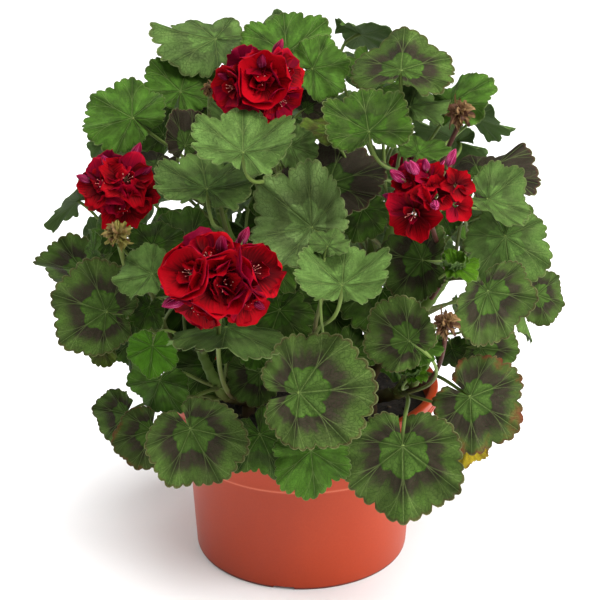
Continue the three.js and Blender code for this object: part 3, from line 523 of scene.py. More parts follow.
def make_leaf(stem, index, middle, normal, midrib, half, back, inward, look):
    return dict(
        stem=stem, index=index, middle=middle, normal=normal, midrib=midrib, half=half, back=back,
        side=np.cross(normal, midrib), inward=inward, look=look, fine=True,
        bowl=0.1 * math.sin(2.4 * index + 0.7), swing=0.06 * math.cos(1.7 * index),
    )


def seen_leaf(row, stem, index):
    right, down, back, width, open_to, lean, hour, look = row
    to_eye, clock = facing(right, down)
    normal = to_eye * open_to + clock(lean) * math.sqrt(1 - open_to * open_to)
    midrib = clock(hour)
    midrib = unit(midrib - to_eye * (midrib @ normal) / (to_eye @ normal))
    middle = seen(right, down, dome_near(right, down) - back)
    return make_leaf(stem, index, middle, normal, midrib, width / 2, back, -to_eye, look)


for name, stem in STEMS.items():
    x, y = stem["foot"]
    stem["soil"] = soil_top(x, y)
    stem["tip"] = np.array(stem["tip"], float) if "tip" in stem else seen(*stem["head"])
    knee = np.array(stem["at"], float) if "at" in stem else seen(*stem["knee"])
    stem["starts"] = []
    stem["curve"] = Curve([(x, y, stem["soil"] + 2), (x, y, stem["soil"] + 9), knee, stem["tip"]])
for head in [*BLOOMS.values(), *SPENT.values()]:
    if "at" in head:
        right, down, back = head["at"]
        head["middle"] = seen(right, down, dome_near(right, down) - back)
    head["middle"] = np.array(head["middle"], float)

balls = []
for bloom in BLOOMS.values():
    wide, high, deep = bloom["size"]
    balls.append((bloom["middle"], np.array([wide, deep, high]) + 1.5))
balls += [(s["middle"], np.full(3, s["size"] + 4.0)) for s in SPENT.values()]
ball_middles, ball_reaches = (np.array(part) for part in zip(*balls))

FAR_LEAVES = 22
FAR_LOOKS = ["green", "ring", "bright", "soft", "grey", "ring", "dark"]
FAR_LOW, FAR_HIGH = 128, 360
SIDES = [(-50, 0), (180, 230)]


def far_leaf(i, count, share=0.93, first=20, spin=0.2, arc=(4, 176)):
    """A leaf of the far side, which follows the dome by a rule."""
    turn = arc[0] + (arc[1] - arc[0]) * frac(0.618 * i + spin)
    height = FAR_LOW + (FAR_HIGH - FAR_LOW) * ((i + 0.5) / count)
    above = max(0, height - DOME_MIDDLE) / DOME[2]
    shrink = math.sqrt(1 - min(0.97, above * above))
    out = np.array([math.cos(math.radians(turn)), math.sin(math.radians(turn)), 0])
    middle = out * [DOME[0], DOME[1], 0] * (share * shrink) + [0, 0, height]
    face = math.radians(50 * (frac(0.37 * i) - 0.5) + turn)
    normal = unit(np.array([math.cos(face), math.sin(face), 0.25 + 0.9 * above + 0.3 * frac(0.71 * i)]))
    swivel = math.radians(300 * frac(0.443 * i) - 150)
    down = unit(-UP + UP[2] * normal[2] * normal)
    midrib = down * math.cos(swivel) + np.cross(normal, down) * math.sin(swivel)
    half = 0.5 * (42 + 16 * frac(0.83 * i))
    bearers = [name for name in STEMS if "front" not in name]
    stem = min(bearers, key=lambda name: np.linalg.norm(STEMS[name]["tip"] - middle))
    inward = unit(-out - UP * 0.5 * above)
    look = FAR_LOOKS[i % len(FAR_LOOKS)]
    leaf = make_leaf(stem, i + first, middle, normal, midrib, half, 60 + i, inward, look)
    return dict(leaf, fine=False)


leaves = [
    seen_leaf(row, name, index) for name, stem in STEMS.items() for index, row in enumerate(stem["leaves"])
]
leaves += [far_leaf(i, FAR_LEAVES) for i in range(FAR_LEAVES)]
RING = [(0.5, k / 6) for k in range(6)] + [(1, k / 12) for k in range(12)]
RING = np.array([(0, 0)] + [(s * math.cos(2 * math.pi * t), s * math.sin(2 * math.pi * t)) for s, t in RING])


def spread(leaf):
    """Points over a flat leaf: its middle, a ring half way out and one at the margin."""
    flat = RING * leaf["half"]
    return leaf["middle"] + flat[:, :1] * leaf["midrib"] + flat[:, 1:] * leaf["side"]


def height_over(points, leaf):
    """How high points lie over a leaf's plane, and how far out from its middle."""
    offset = points - leaf["middle"]
    height = offset @ leaf["normal"]
    return height, np.sqrt(np.maximum(0, (offset**2).sum(-1) - height**2))


def one_sided(points, leaf):
    """Whether the points lie clear on one side of a leaf, where they come over it."""
    height, out = height_over(points, leaf)
    height = height[out <= leaf["half"] + 3]
    if np.any(np.abs(height) < 5.5):
        return False
    return not (np.any(height > 0) and np.any(height <= 0))


def free(points, slack):
    """Which points keep off the pot, the soil, the blooms and the spent heads."""
    out, z = np.hypot(points[..., 0], points[..., 1]), points[..., 2]
    on_rim = (z < POT_HEIGHT + slack) & (out < RIM_RADIUS + slack) & (out > inner_rim - slack)
    in_soil = (z < SOIL_HEIGHT + SOIL_HEAP + slack) & (out < RIM_RADIUS)
    away = (points[..., None, :] - ball_middles) / (ball_reaches + slack)
    return ~on_rim & ~in_soil & (z >= slack) & np.all((away**2).sum(-1) > 1, axis=-1)


def runs_through(points, leaf, spare=0.0):
    """Whether lines of points go through a leaf."""
    height, out = height_over(points, leaf)
    near = np.minimum(out[..., :-1], out[..., 1:]) < leaf["half"] + spare
    return np.any(near & (height[..., :-1] * height[..., 1:] < 0), axis=-1)


placed, rods = [], []


def settle(leaf, tries=45):
    """Moves a leaf along its line of sight until it is clear of those before it."""
    start = leaf["middle"].copy()
    for attempt in range(tries):
        steps = -min(8, (attempt + 1) / 2) if attempt % 2 else attempt / 2
        leaf["middle"] = start + leaf["inward"] * 2 * steps
        points = spread(leaf)
        if np.all(free(points, 3)) and all(
            np.linalg.norm(other["middle"] - leaf["middle"]) > other["half"] + leaf["half"] + 6
            or (one_sided(points, other) and one_sided(spread(other), leaf))
            for other in placed
        ) and not any(runs_through(line, leaf, 2) for line, _, _ in rods):
            break
    else:
        leaf["middle"] = start
        return False
    placed.append(leaf)
    return True


for leaf in sorted(leaves, key=lambda leaf: leaf["back"]):
    settle(leaf)


def add_rod(stem, radius, points):
    rods.append((np.asarray(points), radius, stem))


for name, stem in STEMS.items():
    add_rod(name, STEM_RADIUS, [stem["curve"].along(k / 24) for k in range(25)])


def trouble(lines, stem, radius, own):
    """How badly each line of points runs into what belongs to other stems, in mm."""
    count = lines.shape[1]
    inner = (np.arange(count) > 0) & (np.arange(count) < count - 1)
    cost = 6.0 * (~free(lines, radius + 1) & inner).sum(1)
    for leaf in placed:
        if leaf is own:
            continue
        if own and own.get("late"):
            cost += 6 * runs_through(lines, leaf)
        height, out = height_over(lines, leaf)
        height = np.abs(height)
        hit = (height <= radius + 4.5) & (out <= leaf["half"] + radius + 2)
        cost += ((radius + 4.5 - height) * hit).sum(1) * (0.7 if leaf["stem"] == stem else 1)
    low, high = lines.reshape(-1, 3).min(0) - 8, lines.reshape(-1, 3).max(0) + 8
    for points, other_radius, other_stem in rods:
        points = points[np.all((points > low) & (points < high), axis=1)]
        if not len(points):
            continue
        same = other_stem == stem
        need = radius + other_radius + 1
        gaps = np.linalg.norm(lines[:, :, None] - points, axis=-1)
        short = np.maximum(0, need - gaps).sum(-1)
        if same:
            short[:, :3] = 0
        cost += (1.2 if same else 1.5) * short.sum(1)
    return cost


BENDS = [
    (0, 0), (0, 0.3), (0, -0.3), (0.35, 0), (-0.35, 0), (0.4, 0.3), (-0.4, 0.3), (0.4, -0.3), (-0.4, -0.3),
]
HEAD_STALK_LENGTH = 105
LEAF_STALK_LENGTH = 62
LEAF_STALK_RADIUS = 1.5


def bezier(knots, steps):
    t = np.linspace(0, 1, steps + 1)[:, None]
    weights = ((1 - t) ** 3, 3 * t * (1 - t) ** 2, 3 * t * t * (1 - t), t**3)
    return sum(w * knots[..., None, k, :] for k, w in enumerate(weights))


def route(name, end, arrival, length, radius, own):
    """The way from a stem to a leaf or a flower that runs into least and bends least."""
    stem, ways, costs, shares = STEMS[name], [], [], []
    share, next_joint = 0.3, 0.035
    while share < 1:
        start, along = stem["curve"].along(share), stem["curve"].heading(share)
        span = np.linalg.norm(end - start)
        straight = unit(end - start)
        beside = unit(np.cross(straight, UP))
        over = np.cross(beside, straight)
        stretch, drop = (span - length) / 22, max(0, start[2] - end[2] + 4) / 14
        hook = 20 * max(0, 0.3 - straight @ arrival)
        crowd = 5 * sum(abs(other - share) < next_joint / 2 for other in stem["starts"])
        for right, up in BENDS:
            leave = unit(along * 0.4 + straight * 0.8 + beside * right + over * up)
            ways.append([start, start + leave * span / 3, end - arrival * span / 3, end])
            costs.append(stretch**2 + drop**2 + abs(right) + abs(up) + hook + crowd)
            shares.append(share)
        share += next_joint
    ways = np.array(ways)
    lines = bezier(ways, 14)
    best = int(np.argmin(np.array(costs) + 8 * trouble(lines, name, radius, own)))
    stem["starts"].append(shares[best])
    add_rod(name, radius, lines[best])
    return ways[best]


STALK_RADIUS = 1.8
CORE_EDGE = 0.8507
for head in [*BLOOMS.values(), *SPENT.values()]:
    core = 0.5 * (head["size"][1] if isinstance(head["size"], tuple) else head["size"])
    away = unit((head["middle"] - STEMS[head["stem"]]["tip"]) * [1, 1, 0])
    arrival = unit(away * 0.7 + UP)
    foot = head["middle"] - UP * (CORE_EDGE * core + GAP + STALK_RADIUS * math.sin(math.atan(0.7)))
    head["foot"], head["arrival"] = foot, arrival
    head["stalk"] = route(head["stem"], foot, arrival, HEAD_STALK_LENGTH, STALK_RADIUS, None)


# Leaves that stand behind the first ones, deeper in the plant, in the same columns as above. Most take the
# darker "dark" green, which partly paints the shade deep in the plant.
INNER_LEAVES = {
    "stem_top_left": [
        (159, 127, 34, 33, 0.8, 270, 330, "dark"), (212, 113, 40, 22, 0.85, 60, 40, "deep"),
        (230, 212, 52, 36, 0.8, 0, 200, "dark"), (150, 163, 40, 30, 0.5, 0, 300, "deep"),
        (262, 186, 60, 40, 0.8, 30, 40, "dark"),
    ],
    "stem_top": [
        (310, 106, 36, 20, 0.85, 60, 60, "deep"),
        (262, 128, 56, 40, 0.8, 0, 330, "dark"), (303, 195, 64, 44, 0.8, 0, 20, "dark"),
    ],
    "stem_top_right": [
        (378, 160, 42, 34, 0.55, 0, 40, "deep"), (425, 127, 14, 13, 0.8, 0, 20, "young"),
        (360, 216, 34, 33, 0.85, 180, 200, "dark"), (395, 205, 60, 46, 0.8, 0, 60, "dark"),
    ],
    "stem_right": [
        (443, 217, 44, 24, 0.85, 90, 160, "dark"), (449, 259, 26, 14, 0.7, 300, 300, "young"),
        (505, 215, 50, 40, 0.8, 60, 100, "dark"),
    ],
    "stem_low_right": [
        (415, 372, 30, 16, 0.7, 0, 60, "young"), (378, 300, 70, 46, 0.85, 0, 200, "dark"),
    ],
    "stem_front": [
        (253, 378, 36, 33, 0.95, 270, 230, "ring"), (282, 360, 50, 36, 0.9, 0, 330, "dark"),
        (356, 350, 50, 30, 0.85, 0, 60, "dark"), (330, 310, 70, 44, 0.85, 0, 150, "dark"),
        (276, 320, 66, 44, 0.85, 0, 200, "dark"), (284, 294, 110, 46, 0.85, 0, 40, "dark"),
    ],
    "stem_front_left": [
        (278, 262, 44, 34, 0.65, 90, 100, "dark"), (254, 357, 26, 16, 0.85, 0, 200, "bright"),
        (176, 415, 44, 40, 0.85, 200, 190, "dark"), (205, 372, 56, 42, 0.85, 180, 220, "dark"),
        (247, 342, 60, 36, 0.85, 0, 120, "dark"), (226, 318, 110, 44, 0.85, 0, 60, "dark"),
        (254, 240, 100, 44, 0.85, 0, 140, "dark"),
    ],
    "stem_left": [
        (147, 313, 34, 22, 0.9, 270, 200, "dark"), (180, 300, 70, 44, 0.85, 0, 250, "dark"),
        (120, 282, 56, 44, 0.85, 270, 250, "dark"), (160, 395, 60, 40, 0.8, 240, 220, "dark"),
        (180, 240, 60, 44, 0.8, 0, 320, "dark"), (176, 342, 90, 42, 0.85, 0, 140, "dark"),
    ],
}


def grow_petiole(leaf):
    """The stalk's way to the leaf, which it meets at the navel, behind the blade's middle."""
    leaf["navel"] = leaf["middle"] - leaf["midrib"] * 0.34 * leaf["half"]
    arrival = unit(leaf["normal"] * 0.6 + leaf["midrib"] * 0.8)
    reach, angle = 0.22 * leaf["half"], math.radians(17)
    end = leaf["navel"] + leaf["midrib"] * reach * math.cos(angle)
    end = end + leaf["side"] * reach * math.sin(angle) + leaf["normal"] * 0.3
    length, radius = LEAF_STALK_LENGTH, LEAF_STALK_RADIUS
    leaf["stalk"] = route(leaf["stem"], end, arrival, length, radius, leaf)


for leaf in placed:
    grow_petiole(leaf)
inner = [
    seen_leaf(row, name, index) for name, rows in INNER_LEAVES.items() for index, row in enumerate(rows, 40)
]
left_open = (12, 22, 23, 24, 25)
inner += [far_leaf(i, 30, share=0.8, first=80, spin=0.45) for i in range(30) if i not in left_open]
inner += [far_leaf(i, 16, share=0.78, first=120, spin=0.1, arc=SIDES[i % 2]) for i in range(16)]
for leaf in inner:
    leaf["fine"], leaf["late"] = False, True
    if settle(leaf, 75):
        grow_petiole(leaf)
        if any(runs_through(rods[-1][0], other) for other in placed[:-1]):
            placed.pop()
            rods.pop()


def tube(line, radii, sides):
    """A round body along a line, closed at both ends, with the share of its length."""
    line = np.asarray(line)
    radii = np.broadcast_to(radii, len(line))
    headings = unit(np.gradient(line, axis=0))
    across = np.cross(headings[0], (0.31, 0.9, 0.2))
    turn = np.linspace(0, 2 * np.pi, sides, endpoint=False)[:, None]
    rings = []
    for point, along, radius in zip(line, headings, radii):
        across = unit(across - along * (across @ along))
        other = np.cross(along, across)
        rings.append(point + radius * (np.cos(turn) * across + np.sin(turn) * other))
    points = np.concatenate([line[:1], *rings, line[-1:]])
    first, last = 1 + np.arange(sides), 1 + (len(line) - 1) * sides + np.arange(sides)
    caps = [np.stack([np.zeros(sides, int), np.roll(first, -1), first], -1)]
    caps.append(np.stack([np.full(sides, len(points) - 1), last, np.roll(last, -1)], -1))
    share = np.linspace(0, 1, len(line)).repeat(sides)
    share = np.concatenate([[0], share, [1]])
    return points, np.concatenate([grid(len(line), sides, closed=True) + 1, *caps]), share


BLADE, STALK, BARK = 0, 1, 2


def add_stem(skin, stem):
    """The stem itself, thicker and brown below, with a swelling at each joint."""
    x, y = stem["foot"]
    share = np.linspace(0, 1, 90)
    line = np.array([stem["curve"].along(s) for s in share])
    foot = np.array([(x, y, stem["soil"] - STEM_DEPTH), (x, y, stem["soil"] - 6)])
    radius = np.interp(share, [0, 0.5, 1], [STEM_RADIUS * 1.05, STEM_RADIUS * 0.9, SHOOT_RADIUS * 0.85])
    for joint in np.arange(0.08, 0.97, 0.09):
        radius = radius + 0.55 * np.exp(-(((share - joint) / 0.012) ** 2))
    line, radius = np.concatenate([foot, line]), np.concatenate([radius[:1], radius[:1], radius])
    points, faces, _ = tube(line, radius, 12)
    age = np.concatenate([[0, 0], share]).repeat(12)
    skin.add(points, faces, BARK, age=np.concatenate([[0], age, [1]]))


def add_stalk(skin, knots, first, last, coat=STALK, steps=22, **paints):
    """A leaf or flower stalk, a little thicker where it leaves the stem."""
    share = np.linspace(0, 1, steps + 1)
    radius = np.interp(share, [0, 0.06, 0.16, 0.8, 1], [first * 1.5, first * 1.25, first, last, last * 1.1])
    points, faces, share = tube(bezier(knots, steps), radius, 8)
    skin.add(points, faces, coat, share=share, **paints)


# THE LEAVES
# Soft, round, felted leaves with seven shallow lobes, a scalloped edge and a narrow slit down to
# the navel, where the stalk joins them from behind. Most have a brown horseshoe zone.
LOBES = 7
SHEET = 0.55
BRACT_HALF = 0.15
CURLS = 8

# How each kind of leaf is coloured: light or dark, grey felt with painted sheen, zone, dried edge, yellow.
LOOKS = {
    "green": (0.6, 0.15, 0.25, 0, 0), "bright": (0.66, 0.16, 0.12, 0, 0),
    "grey": (0.3, 0.5, 0.3, 0, 0), "pale": (0.6, 0.62, 0.15, 0, 0),
    # The "dark" kind is a darker green that partly paints the shade on leaves deep in the plant.
    "dark": (0.25, 0.05, 0.35, 0, 0), "deep": (-0.15, 0.1, 2.0, 0, 0),
    "ring": (0.4, 0.13, 1, 0, 0), "olive": (0.3, 0.1, 0.6, 0, 0.06),
    "soft": (0.65, 0.45, 0.4, 0, 0), "rust": (0.3, 0.12, 1.12, 1, 0),
    "young": (1.15, 0, 0, 0, 0.03), "dying": (0.75, 0, 0.1, 0.8, 1.3),
    "singed": (0.15, 0.05, 1, 0.9, 0), "fresh": (1.2, 0, 0.05, 0, 0), "faint": (0.8, 1.1, 0.5, 0, 0),
}
# Leaves that are folded along their midrib, upward (more than 0) or downward.
FOLDED = {
    ("stem_top_right", 0): -0.32, ("stem_right", 0): -0.3, ("stem_right", 1): 0.5,
    ("stem_top", 4): 0.35, ("stem_front", 1): 0.3, ("stem_left", 3): -0.3,
    ("stem_top_left", 4): 0.25, ("stem_front", 0): 0.36, ("stem_top_right", 1): -0.35,
    ("stem_front_left", 0): -0.25, ("stem_top", 2): 0.3, ("stem_right", 5): -0.15,
}


def blade(skin, leaf, seed):
    """A leaf's blade, with both faces and the edge between them."""
    rng = np.random.default_rng(seed)
    half = leaf["half"]
    tone, grey, zone, rust, yellow = LOOKS[leaf["look"]]
    young, ringed = leaf["look"] == "young", zone > 0.8
    teeth, rows = (35, 11) if half > 20 else (28, 9) if half > 13 else (21, 7)
    if not leaf["fine"]:
        teeth, rows = 21, 6
    step = 90 / teeth
    angle = np.radians(np.arange(-int(173 / step), int(173 / step) + 1) * step)
    s = (0.006 + 0.994 * np.linspace(0, 1, rows) ** 0.9)[:, None]
    lobe = np.abs(np.cos(LOBES / 2 * angle))
    edge = (1 + 0.3 * np.cos(angle)) * (1 - 0.2 * smooth(150, 172, np.degrees(np.abs(angle))))
    deep = 0.045 if ringed else 0.075
    edge = edge * (1.01 + deep * (2 * lobe**0.5 - 1))
    scallop = (0.02 + 0.15 * deep) * (2 * np.abs(np.cos(teeth / 2 * angle)) ** 0.6 - 1)
    wobble = sum((0.016 if ringed else 0.028) * np.sin(k * angle + 6.3 * rng.random()) for k in (2, 3, 5))
    reach = s * half * edge * (1 + (scallop + wobble) * s**4)
    swell = rng.random() * (0.07 if ringed else 0.11) + (0.05 if ringed else 0.08)
    swell, ripple = (0.16, 0.1) if young else (swell, 0.032)
    ruffle = swell * np.sin((3 + seed % 3) * angle + 6.3 * rng.random())
    ruffle = ruffle + ripple * np.sin(13 * angle + 6.3 * rng.random())
    rise = leaf["bowl"] + leaf["swing"] * np.cos(2 * angle + 1.1)
    vein = np.exp(-((np.sin(LOBES / 2 * angle) / 0.16) ** 2)) * smooth(0, 0.15, s) * (1 - 0.6 * s)
    quilt = 0.006 * np.sin(16 * s + 2 * np.cos(LOBES * angle)) * lobe * s
    x, y = reach * np.cos(angle), reach * np.sin(angle)
    fold = FOLDED.get((leaf["stem"], leaf["index"]), 0.1 * rng.normal()) * np.abs(y / half) ** 1.4
    pleat = 0.05 + 0.04 * grey
    flute = pleat * np.cos(LOBES * angle) * s**1.3 + 0.02 * np.cos(2 * LOBES * angle) * s**2
    height = half * (rise * s**1.4 + flute + ruffle * s**2.4 + fold - 0.018 * vein + quilt)
    flat = leaf["navel"] + x[..., None] * leaf["midrib"] + y[..., None] * leaf["side"]
    thick = SHEET * (1 - 0.35 * s**2)[..., None] / 2
    upper = flat + (height[..., None] + thick) * leaf["normal"]
    under = flat + (height[..., None] - thick) * leaf["normal"]
    points, faces = sheet(upper, under)
    place = np.stack([s * np.cos(angle), s * np.sin(angle)], -1).reshape(-1, 2)
    skin.add(
        points, faces[:, ::-1], BLADE, place=np.concatenate([place, place]),
        under=np.arange(len(points)) >= len(place), tone=tone + 0.15 * (rng.random() - 0.5),
        grey=grey, zone=zone, rust=rust, yellow=yellow, chance=rng.random(),
    )


foliage = {name: Skin() for name in STEMS}
for name, stem in STEMS.items():
    add_stem(foliage[name], stem)
for count, leaf in enumerate(placed):
    skin = foliage[leaf["stem"]]
    blade(skin, leaf, count)
    knots = leaf["stalk"].copy()
    shift = leaf["navel"] - leaf["normal"] * 0.2 - knots[3]
    knots[2:] += shift
    add_stalk(skin, knots, 0.75 + 0.02 * leaf["half"], 0.65 + 0.018 * leaf["half"])
for name, head in [*BLOOMS.items(), *SPENT.items()]:
    red = 1.0 if name in ("spent_head_top", "spent_head_low", "bloom_right") else 0.2
    add_stalk(foliage[head["stem"]], head["stalk"], 1.55, 1.4, steps=30, red=red)

# Curled young leaves crowd round the youngest ones, and two small bracts sit under each stalk.
rng = np.random.default_rng(23)
for leaf in [leaf for leaf in placed if leaf["look"] == "young"]:
    for i in range(CURLS):
        turn = math.radians(360 / CURLS * i + 25 * rng.random())
        out = leaf["midrib"] * math.cos(turn) + leaf["side"] * math.sin(turn)
        normal = unit(leaf["normal"] * 0.5 - out * 0.8)
        half = leaf["half"] * (0.36 + 0.16 * rng.random())
        midrib = unit(np.cross(np.cross(normal, out), normal))
        curl = dict(leaf, half=half, normal=normal, midrib=midrib, side=np.cross(normal, midrib), fine=False)
        curl["navel"] = leaf["navel"] + out * leaf["half"] * 0.3 + leaf["normal"] * 1.5
        blade(foliage[leaf["stem"]], curl, 500 + i)


def bract(skin, at, out, along, size):
    side = unit(np.cross(along, out))
    t, u = np.linspace(0, 1, 6)[:, None], np.linspace(-1, 1, 5)
    width = 0.34 * size * np.sin(np.pi * (0.12 + 0.86 * t)) * u
    ahead = size * (0.75 * t) * out[:, None, None]
    lift = size * (0.8 * t - 0.5 * t * t + 0.1 * u * u) * along[:, None, None]
    points = at[:, None, None] + ahead + lift + width * side[:, None, None]
    points = np.moveaxis(np.broadcast_to(points, (3, 6, 5)), 0, -1)
    face = unit(np.cross(side, out + along)) * BRACT_HALF
    both, faces = sheet(points + face, points - face)
    skin.add(both, faces, STALK, share=0.25 + 0.3 * rng.random())


for leaf in placed:
    start, leave = leaf["stalk"][0], unit(leaf["stalk"][1] - leaf["stalk"][0])
    stem = STEMS[leaf["stem"]]
    along = unit(stem["tip"] - start + UP * 20)
    for turn in (-1, 1):
        out = unit(leave + turn * 0.9 * np.cross(along, leave) - along * (along @ leave) * 0.6)
        bract(foliage[leaf["stem"]], start + out * SHOOT_RADIUS * 0.8, out, along, 4.5 + 2 * rng.random())


def leaf_face():
    """The face of a leaf: its green, horseshoe zone, forked veins and felt, with painted sheen, painted
    shade in its creases and a painted highlight on its rim, by place on the leaf.
    """
    tree = bpy.data.node_groups.new("leaf_face", "ShaderNodeTree")
    for title, kind in (("Color", "Color"), ("Roughness", "Float"), ("Height", "Float")):
        tree.interface.new_socket(title, in_out="OUTPUT", socket_type="NodeSocket" + kind)
    nodes = Nodes(tree)
    node, calc, paint, blend, noise_of = nodes.add, nodes.math, nodes.paint, nodes.blend, nodes.noise
    times, plus, less, scaled, larger, smaller, absolute = (
        partial(calc, title)
        for title in ("MULTIPLY", "ADD", "SUBTRACT", "MULTIPLY_ADD", "MAXIMUM", "MINIMUM", "ABSOLUTE")
    )

    def ease(value, low, high, out_low=0.0, out_high=1.0):
        inputs = {"Value": value, "From Min": low, "From Max": high}
        inputs |= {"To Min": out_low, "To Max": out_high}
        return node("MapRange", inputs, interpolation_type="SMOOTHSTEP").outputs[0]

    place = node("UVMap", uv_map="place").outputs[0]
    x, y, _ = node("SeparateXYZ", {0: place}).outputs
    s = node("VectorMath", {0: place}, operation="LENGTH").outputs["Value"]
    angle = calc("ARCTAN2", y, x)
    chance = times(paint("chance"), 9.0)
    spot = node("CombineXYZ", {0: x, 1: y, 2: chance}).outputs[0]
    radial = node("CombineXYZ", {0: angle, 1: times(s, 0.35), 2: chance}).outputs[0]
    cloud = noise_of(spot, 3.2, 5.0)
    streak = noise_of(radial, 7.0, 4.0)
    felt = noise_of(spot, 90.0, 3.0)

    turn = times(angle, LOBES / (2 * math.pi))
    aside = absolute(less(turn, calc("ROUND", turn)))
    arc = times(s, 2 * math.pi / LOBES)
    width = scaled(s, -0.011, 0.02)
    main = ease(times(aside, arc), 0.0, width, 1.0, 0.0)
    fork = absolute(less(aside, scaled(s, 0.42, -0.16)))
    first_fork = ease(times(fork, arc), 0.002, 0.014, 1.0, 0.0)
    first_fork = times(first_fork, ease(s, 0.36, 0.4))
    fork = absolute(less(fork, scaled(s, 0.3, -0.19)))
    second_fork = ease(times(fork, arc), 0.001, 0.011, 1.0, 0.0)
    second_fork = times(second_fork, ease(s, 0.6, 0.66))
    veins = larger(main, times(first_fork, 0.65))
    veins = larger(veins, times(second_fork, 0.4))
    cells = node("TexVoronoi", {"Vector": spot, "Scale": 17.0}, feature="DISTANCE_TO_EDGE")
    net = ease(cells.outputs["Distance"], 0.0, 0.07, 1.0, 0.0)

    scallop = absolute(calc("COSINE", times(angle, LOBES / 2)))
    inner = scaled(scallop, 0.05, 0.26)
    inner = scaled(cloud, 0.22, inner)
    in_zone = ease(less(s, inner), -0.012, 0.03)
    outer = scaled(streak, 0.5, 0.4)
    zone = smaller(paint("zone"), 1.0)
    broad = larger(less(paint("zone"), 1.0), 0.0)
    outer = scaled(broad, 0.7, outer)
    past = times(ease(less(s, inner), 0.0, 0.05), zone)
    in_zone = times(in_zone, ease(less(s, outer), -0.1, 0.16, 1.0, 0.0))
    in_zone = times(in_zone, zone)
    heart = times(ease(less(inner, s), 0.0, 0.04), zone)

    tone = plus(paint("tone"), scaled(cloud, 2.2, -1.1))
    colour = nodes.ramp(tone, [
        (0.0, (0.012, 0.034, 0.002)), (0.45, (0.028, 0.074, 0.004)), (1.0, (0.044, 0.128, 0.006)),
    ])
    colour = blend(times(heart, 0.7), colour, (0.044, 0.080, 0.014, 1))
    colour = blend(times(past, 0.42), colour, (0.056, 0.064, 0.022, 1))
    # Painted sheen: where the grey paint is set, the leaf is mixed towards a pale grey-green, the frosted
    # look of its felt catching the light; partly also the felt's own paler tone.
    bloom = times(paint("grey"), ease(cloud, 0.2, 0.75, 0.45, 0.95))
    colour = blend(bloom, colour, (0.125, 0.195, 0.060, 1))
    colour = blend(times(in_zone, 0.9), colour, (0.024, 0.015, 0.013, 1))
    aged = times(paint("yellow"), ease(plus(s, cloud), 0.3, 1.2, 0.5, 1.0))
    colour = blend(smaller(aged, 1.0), colour, (0.36, 0.27, 0.015, 1))
    colour = blend(times(net, 0.12), colour, (0.10, 0.20, 0.05, 1))
    # Painted shade: the blade is darker along the creases of the main veins and in the grooves of the vein
    # net, and lighter on the swells between, with random streaks.
    painted_crease_shade = ease(times(aside, arc), 0.0, 0.11, 0.62, 1.12)
    painted_crease_shade = times(painted_crease_shade, ease(streak, 0.3, 0.7, 0.78, 1.16))
    painted_crease_shade = times(painted_crease_shade, scaled(net, -0.3, 1.06))
    shade = node("CombineXYZ", {0: painted_crease_shade, 1: painted_crease_shade, 2: painted_crease_shade}).outputs[0]
    colour = blend(1.0, colour, shade, "MULTIPLY")
    veined = times(veins, ease(cloud, 0.25, 0.7, 0.25, 0.55))
    colour = blend(veined, colour, (0.16, 0.23, 0.065, 1))
    margin = times(ease(s, 0.94, 0.98), scaled(zone, 0.4, 0.1))
    colour = blend(margin, colour, (0.060, 0.024, 0.016, 1))
    # A pale line along the very edge: partly the margin's own pale edge, partly a painted highlight on the
    # rim.
    colour = blend(times(ease(s, 0.978, 0.996), 0.45), colour, (0.17, 0.21, 0.08, 1))
    rust = times(paint("rust"), ease(plus(s, cloud), 1.36, 1.62))
    colour = blend(rust, colour, (0.115, 0.036, 0.016, 1))
    pale = blend(times(veins, 0.6), (0.12, 0.20, 0.065, 1), (0.22, 0.32, 0.12, 1))
    colour = blend(times(paint("under"), 0.8), colour, pale)

    height = scaled(veins, -0.34, times(net, -0.26))
    height = scaled(cloud, 0.5, height)
    height = scaled(felt, 0.15, height)
    rough = scaled(cloud, 0.2, 0.42)
    out = tree.nodes.new("NodeGroupOutput")
    for title, value in (("Color", colour), ("Roughness", rough), ("Height", height)):
        tree.links.new(value, out.inputs[title])
    return tree


leaf_green, nodes = new_material("leaf_green")
face = nodes.add("Group", node_tree=leaf_face()).outputs
nodes.shade(face["Color"], (face["Height"], 1.0, 0.001), {
    "Roughness": face["Roughness"], "Specular IOR Level": 0.035,
})

stalk_green, nodes = new_material("stalk_green")
where = nodes.here()
mixed = nodes.math("ADD", nodes.paint("share"), nodes.noise(where, 45.0, 4.0))
plain = nodes.ramp(mixed, [
    (0.4, (0.085, 0.052, 0.028)), (0.66, (0.105, 0.125, 0.036)), (1.0, (0.135, 0.195, 0.042)),
])
tinged = nodes.blend(nodes.paint("red"), plain, (0.085, 0.030, 0.022, 1))
hairs = nodes.noise(where, 1600.0, 2.0)
nodes.shade(tinged, (hairs, 0.4, 0.0003), {"Roughness": 0.55, "Specular IOR Level": 0.2})

bark, nodes = new_material("stem_bark")
patches = nodes.noise(nodes.here(), 70.0, 6.0)
mixed = nodes.math("ADD", nodes.paint("age"), nodes.math("MULTIPLY", patches, 0.7))
aged = nodes.ramp(mixed, [
    (0.35, (0.070, 0.042, 0.022)), (0.75, (0.100, 0.090, 0.030)), (1.15, (0.10, 0.16, 0.030)),
])
nodes.shade(aged, (patches, 0.7, 0.0012), {"Roughness": 0.68, "Specular IOR Level": 0.15})
for name, skin in foliage.items():
    skin.piece(name.replace("stem", "shoot"), name, "foliage", [leaf_green, stalk_green, bark], sharp=80)

# THE BLOOMS
# Round heads of half-open double flowers, each on a short stalk of its own from one point, with
# velvety scarlet petals, pale stamens, and striped buds between them.
FLORET_SEAT = 0.62
LARGE_FLOWER = 22
FULL_FLOWER = 27
STAMENS = 5
PETAL_HALF = 0.16


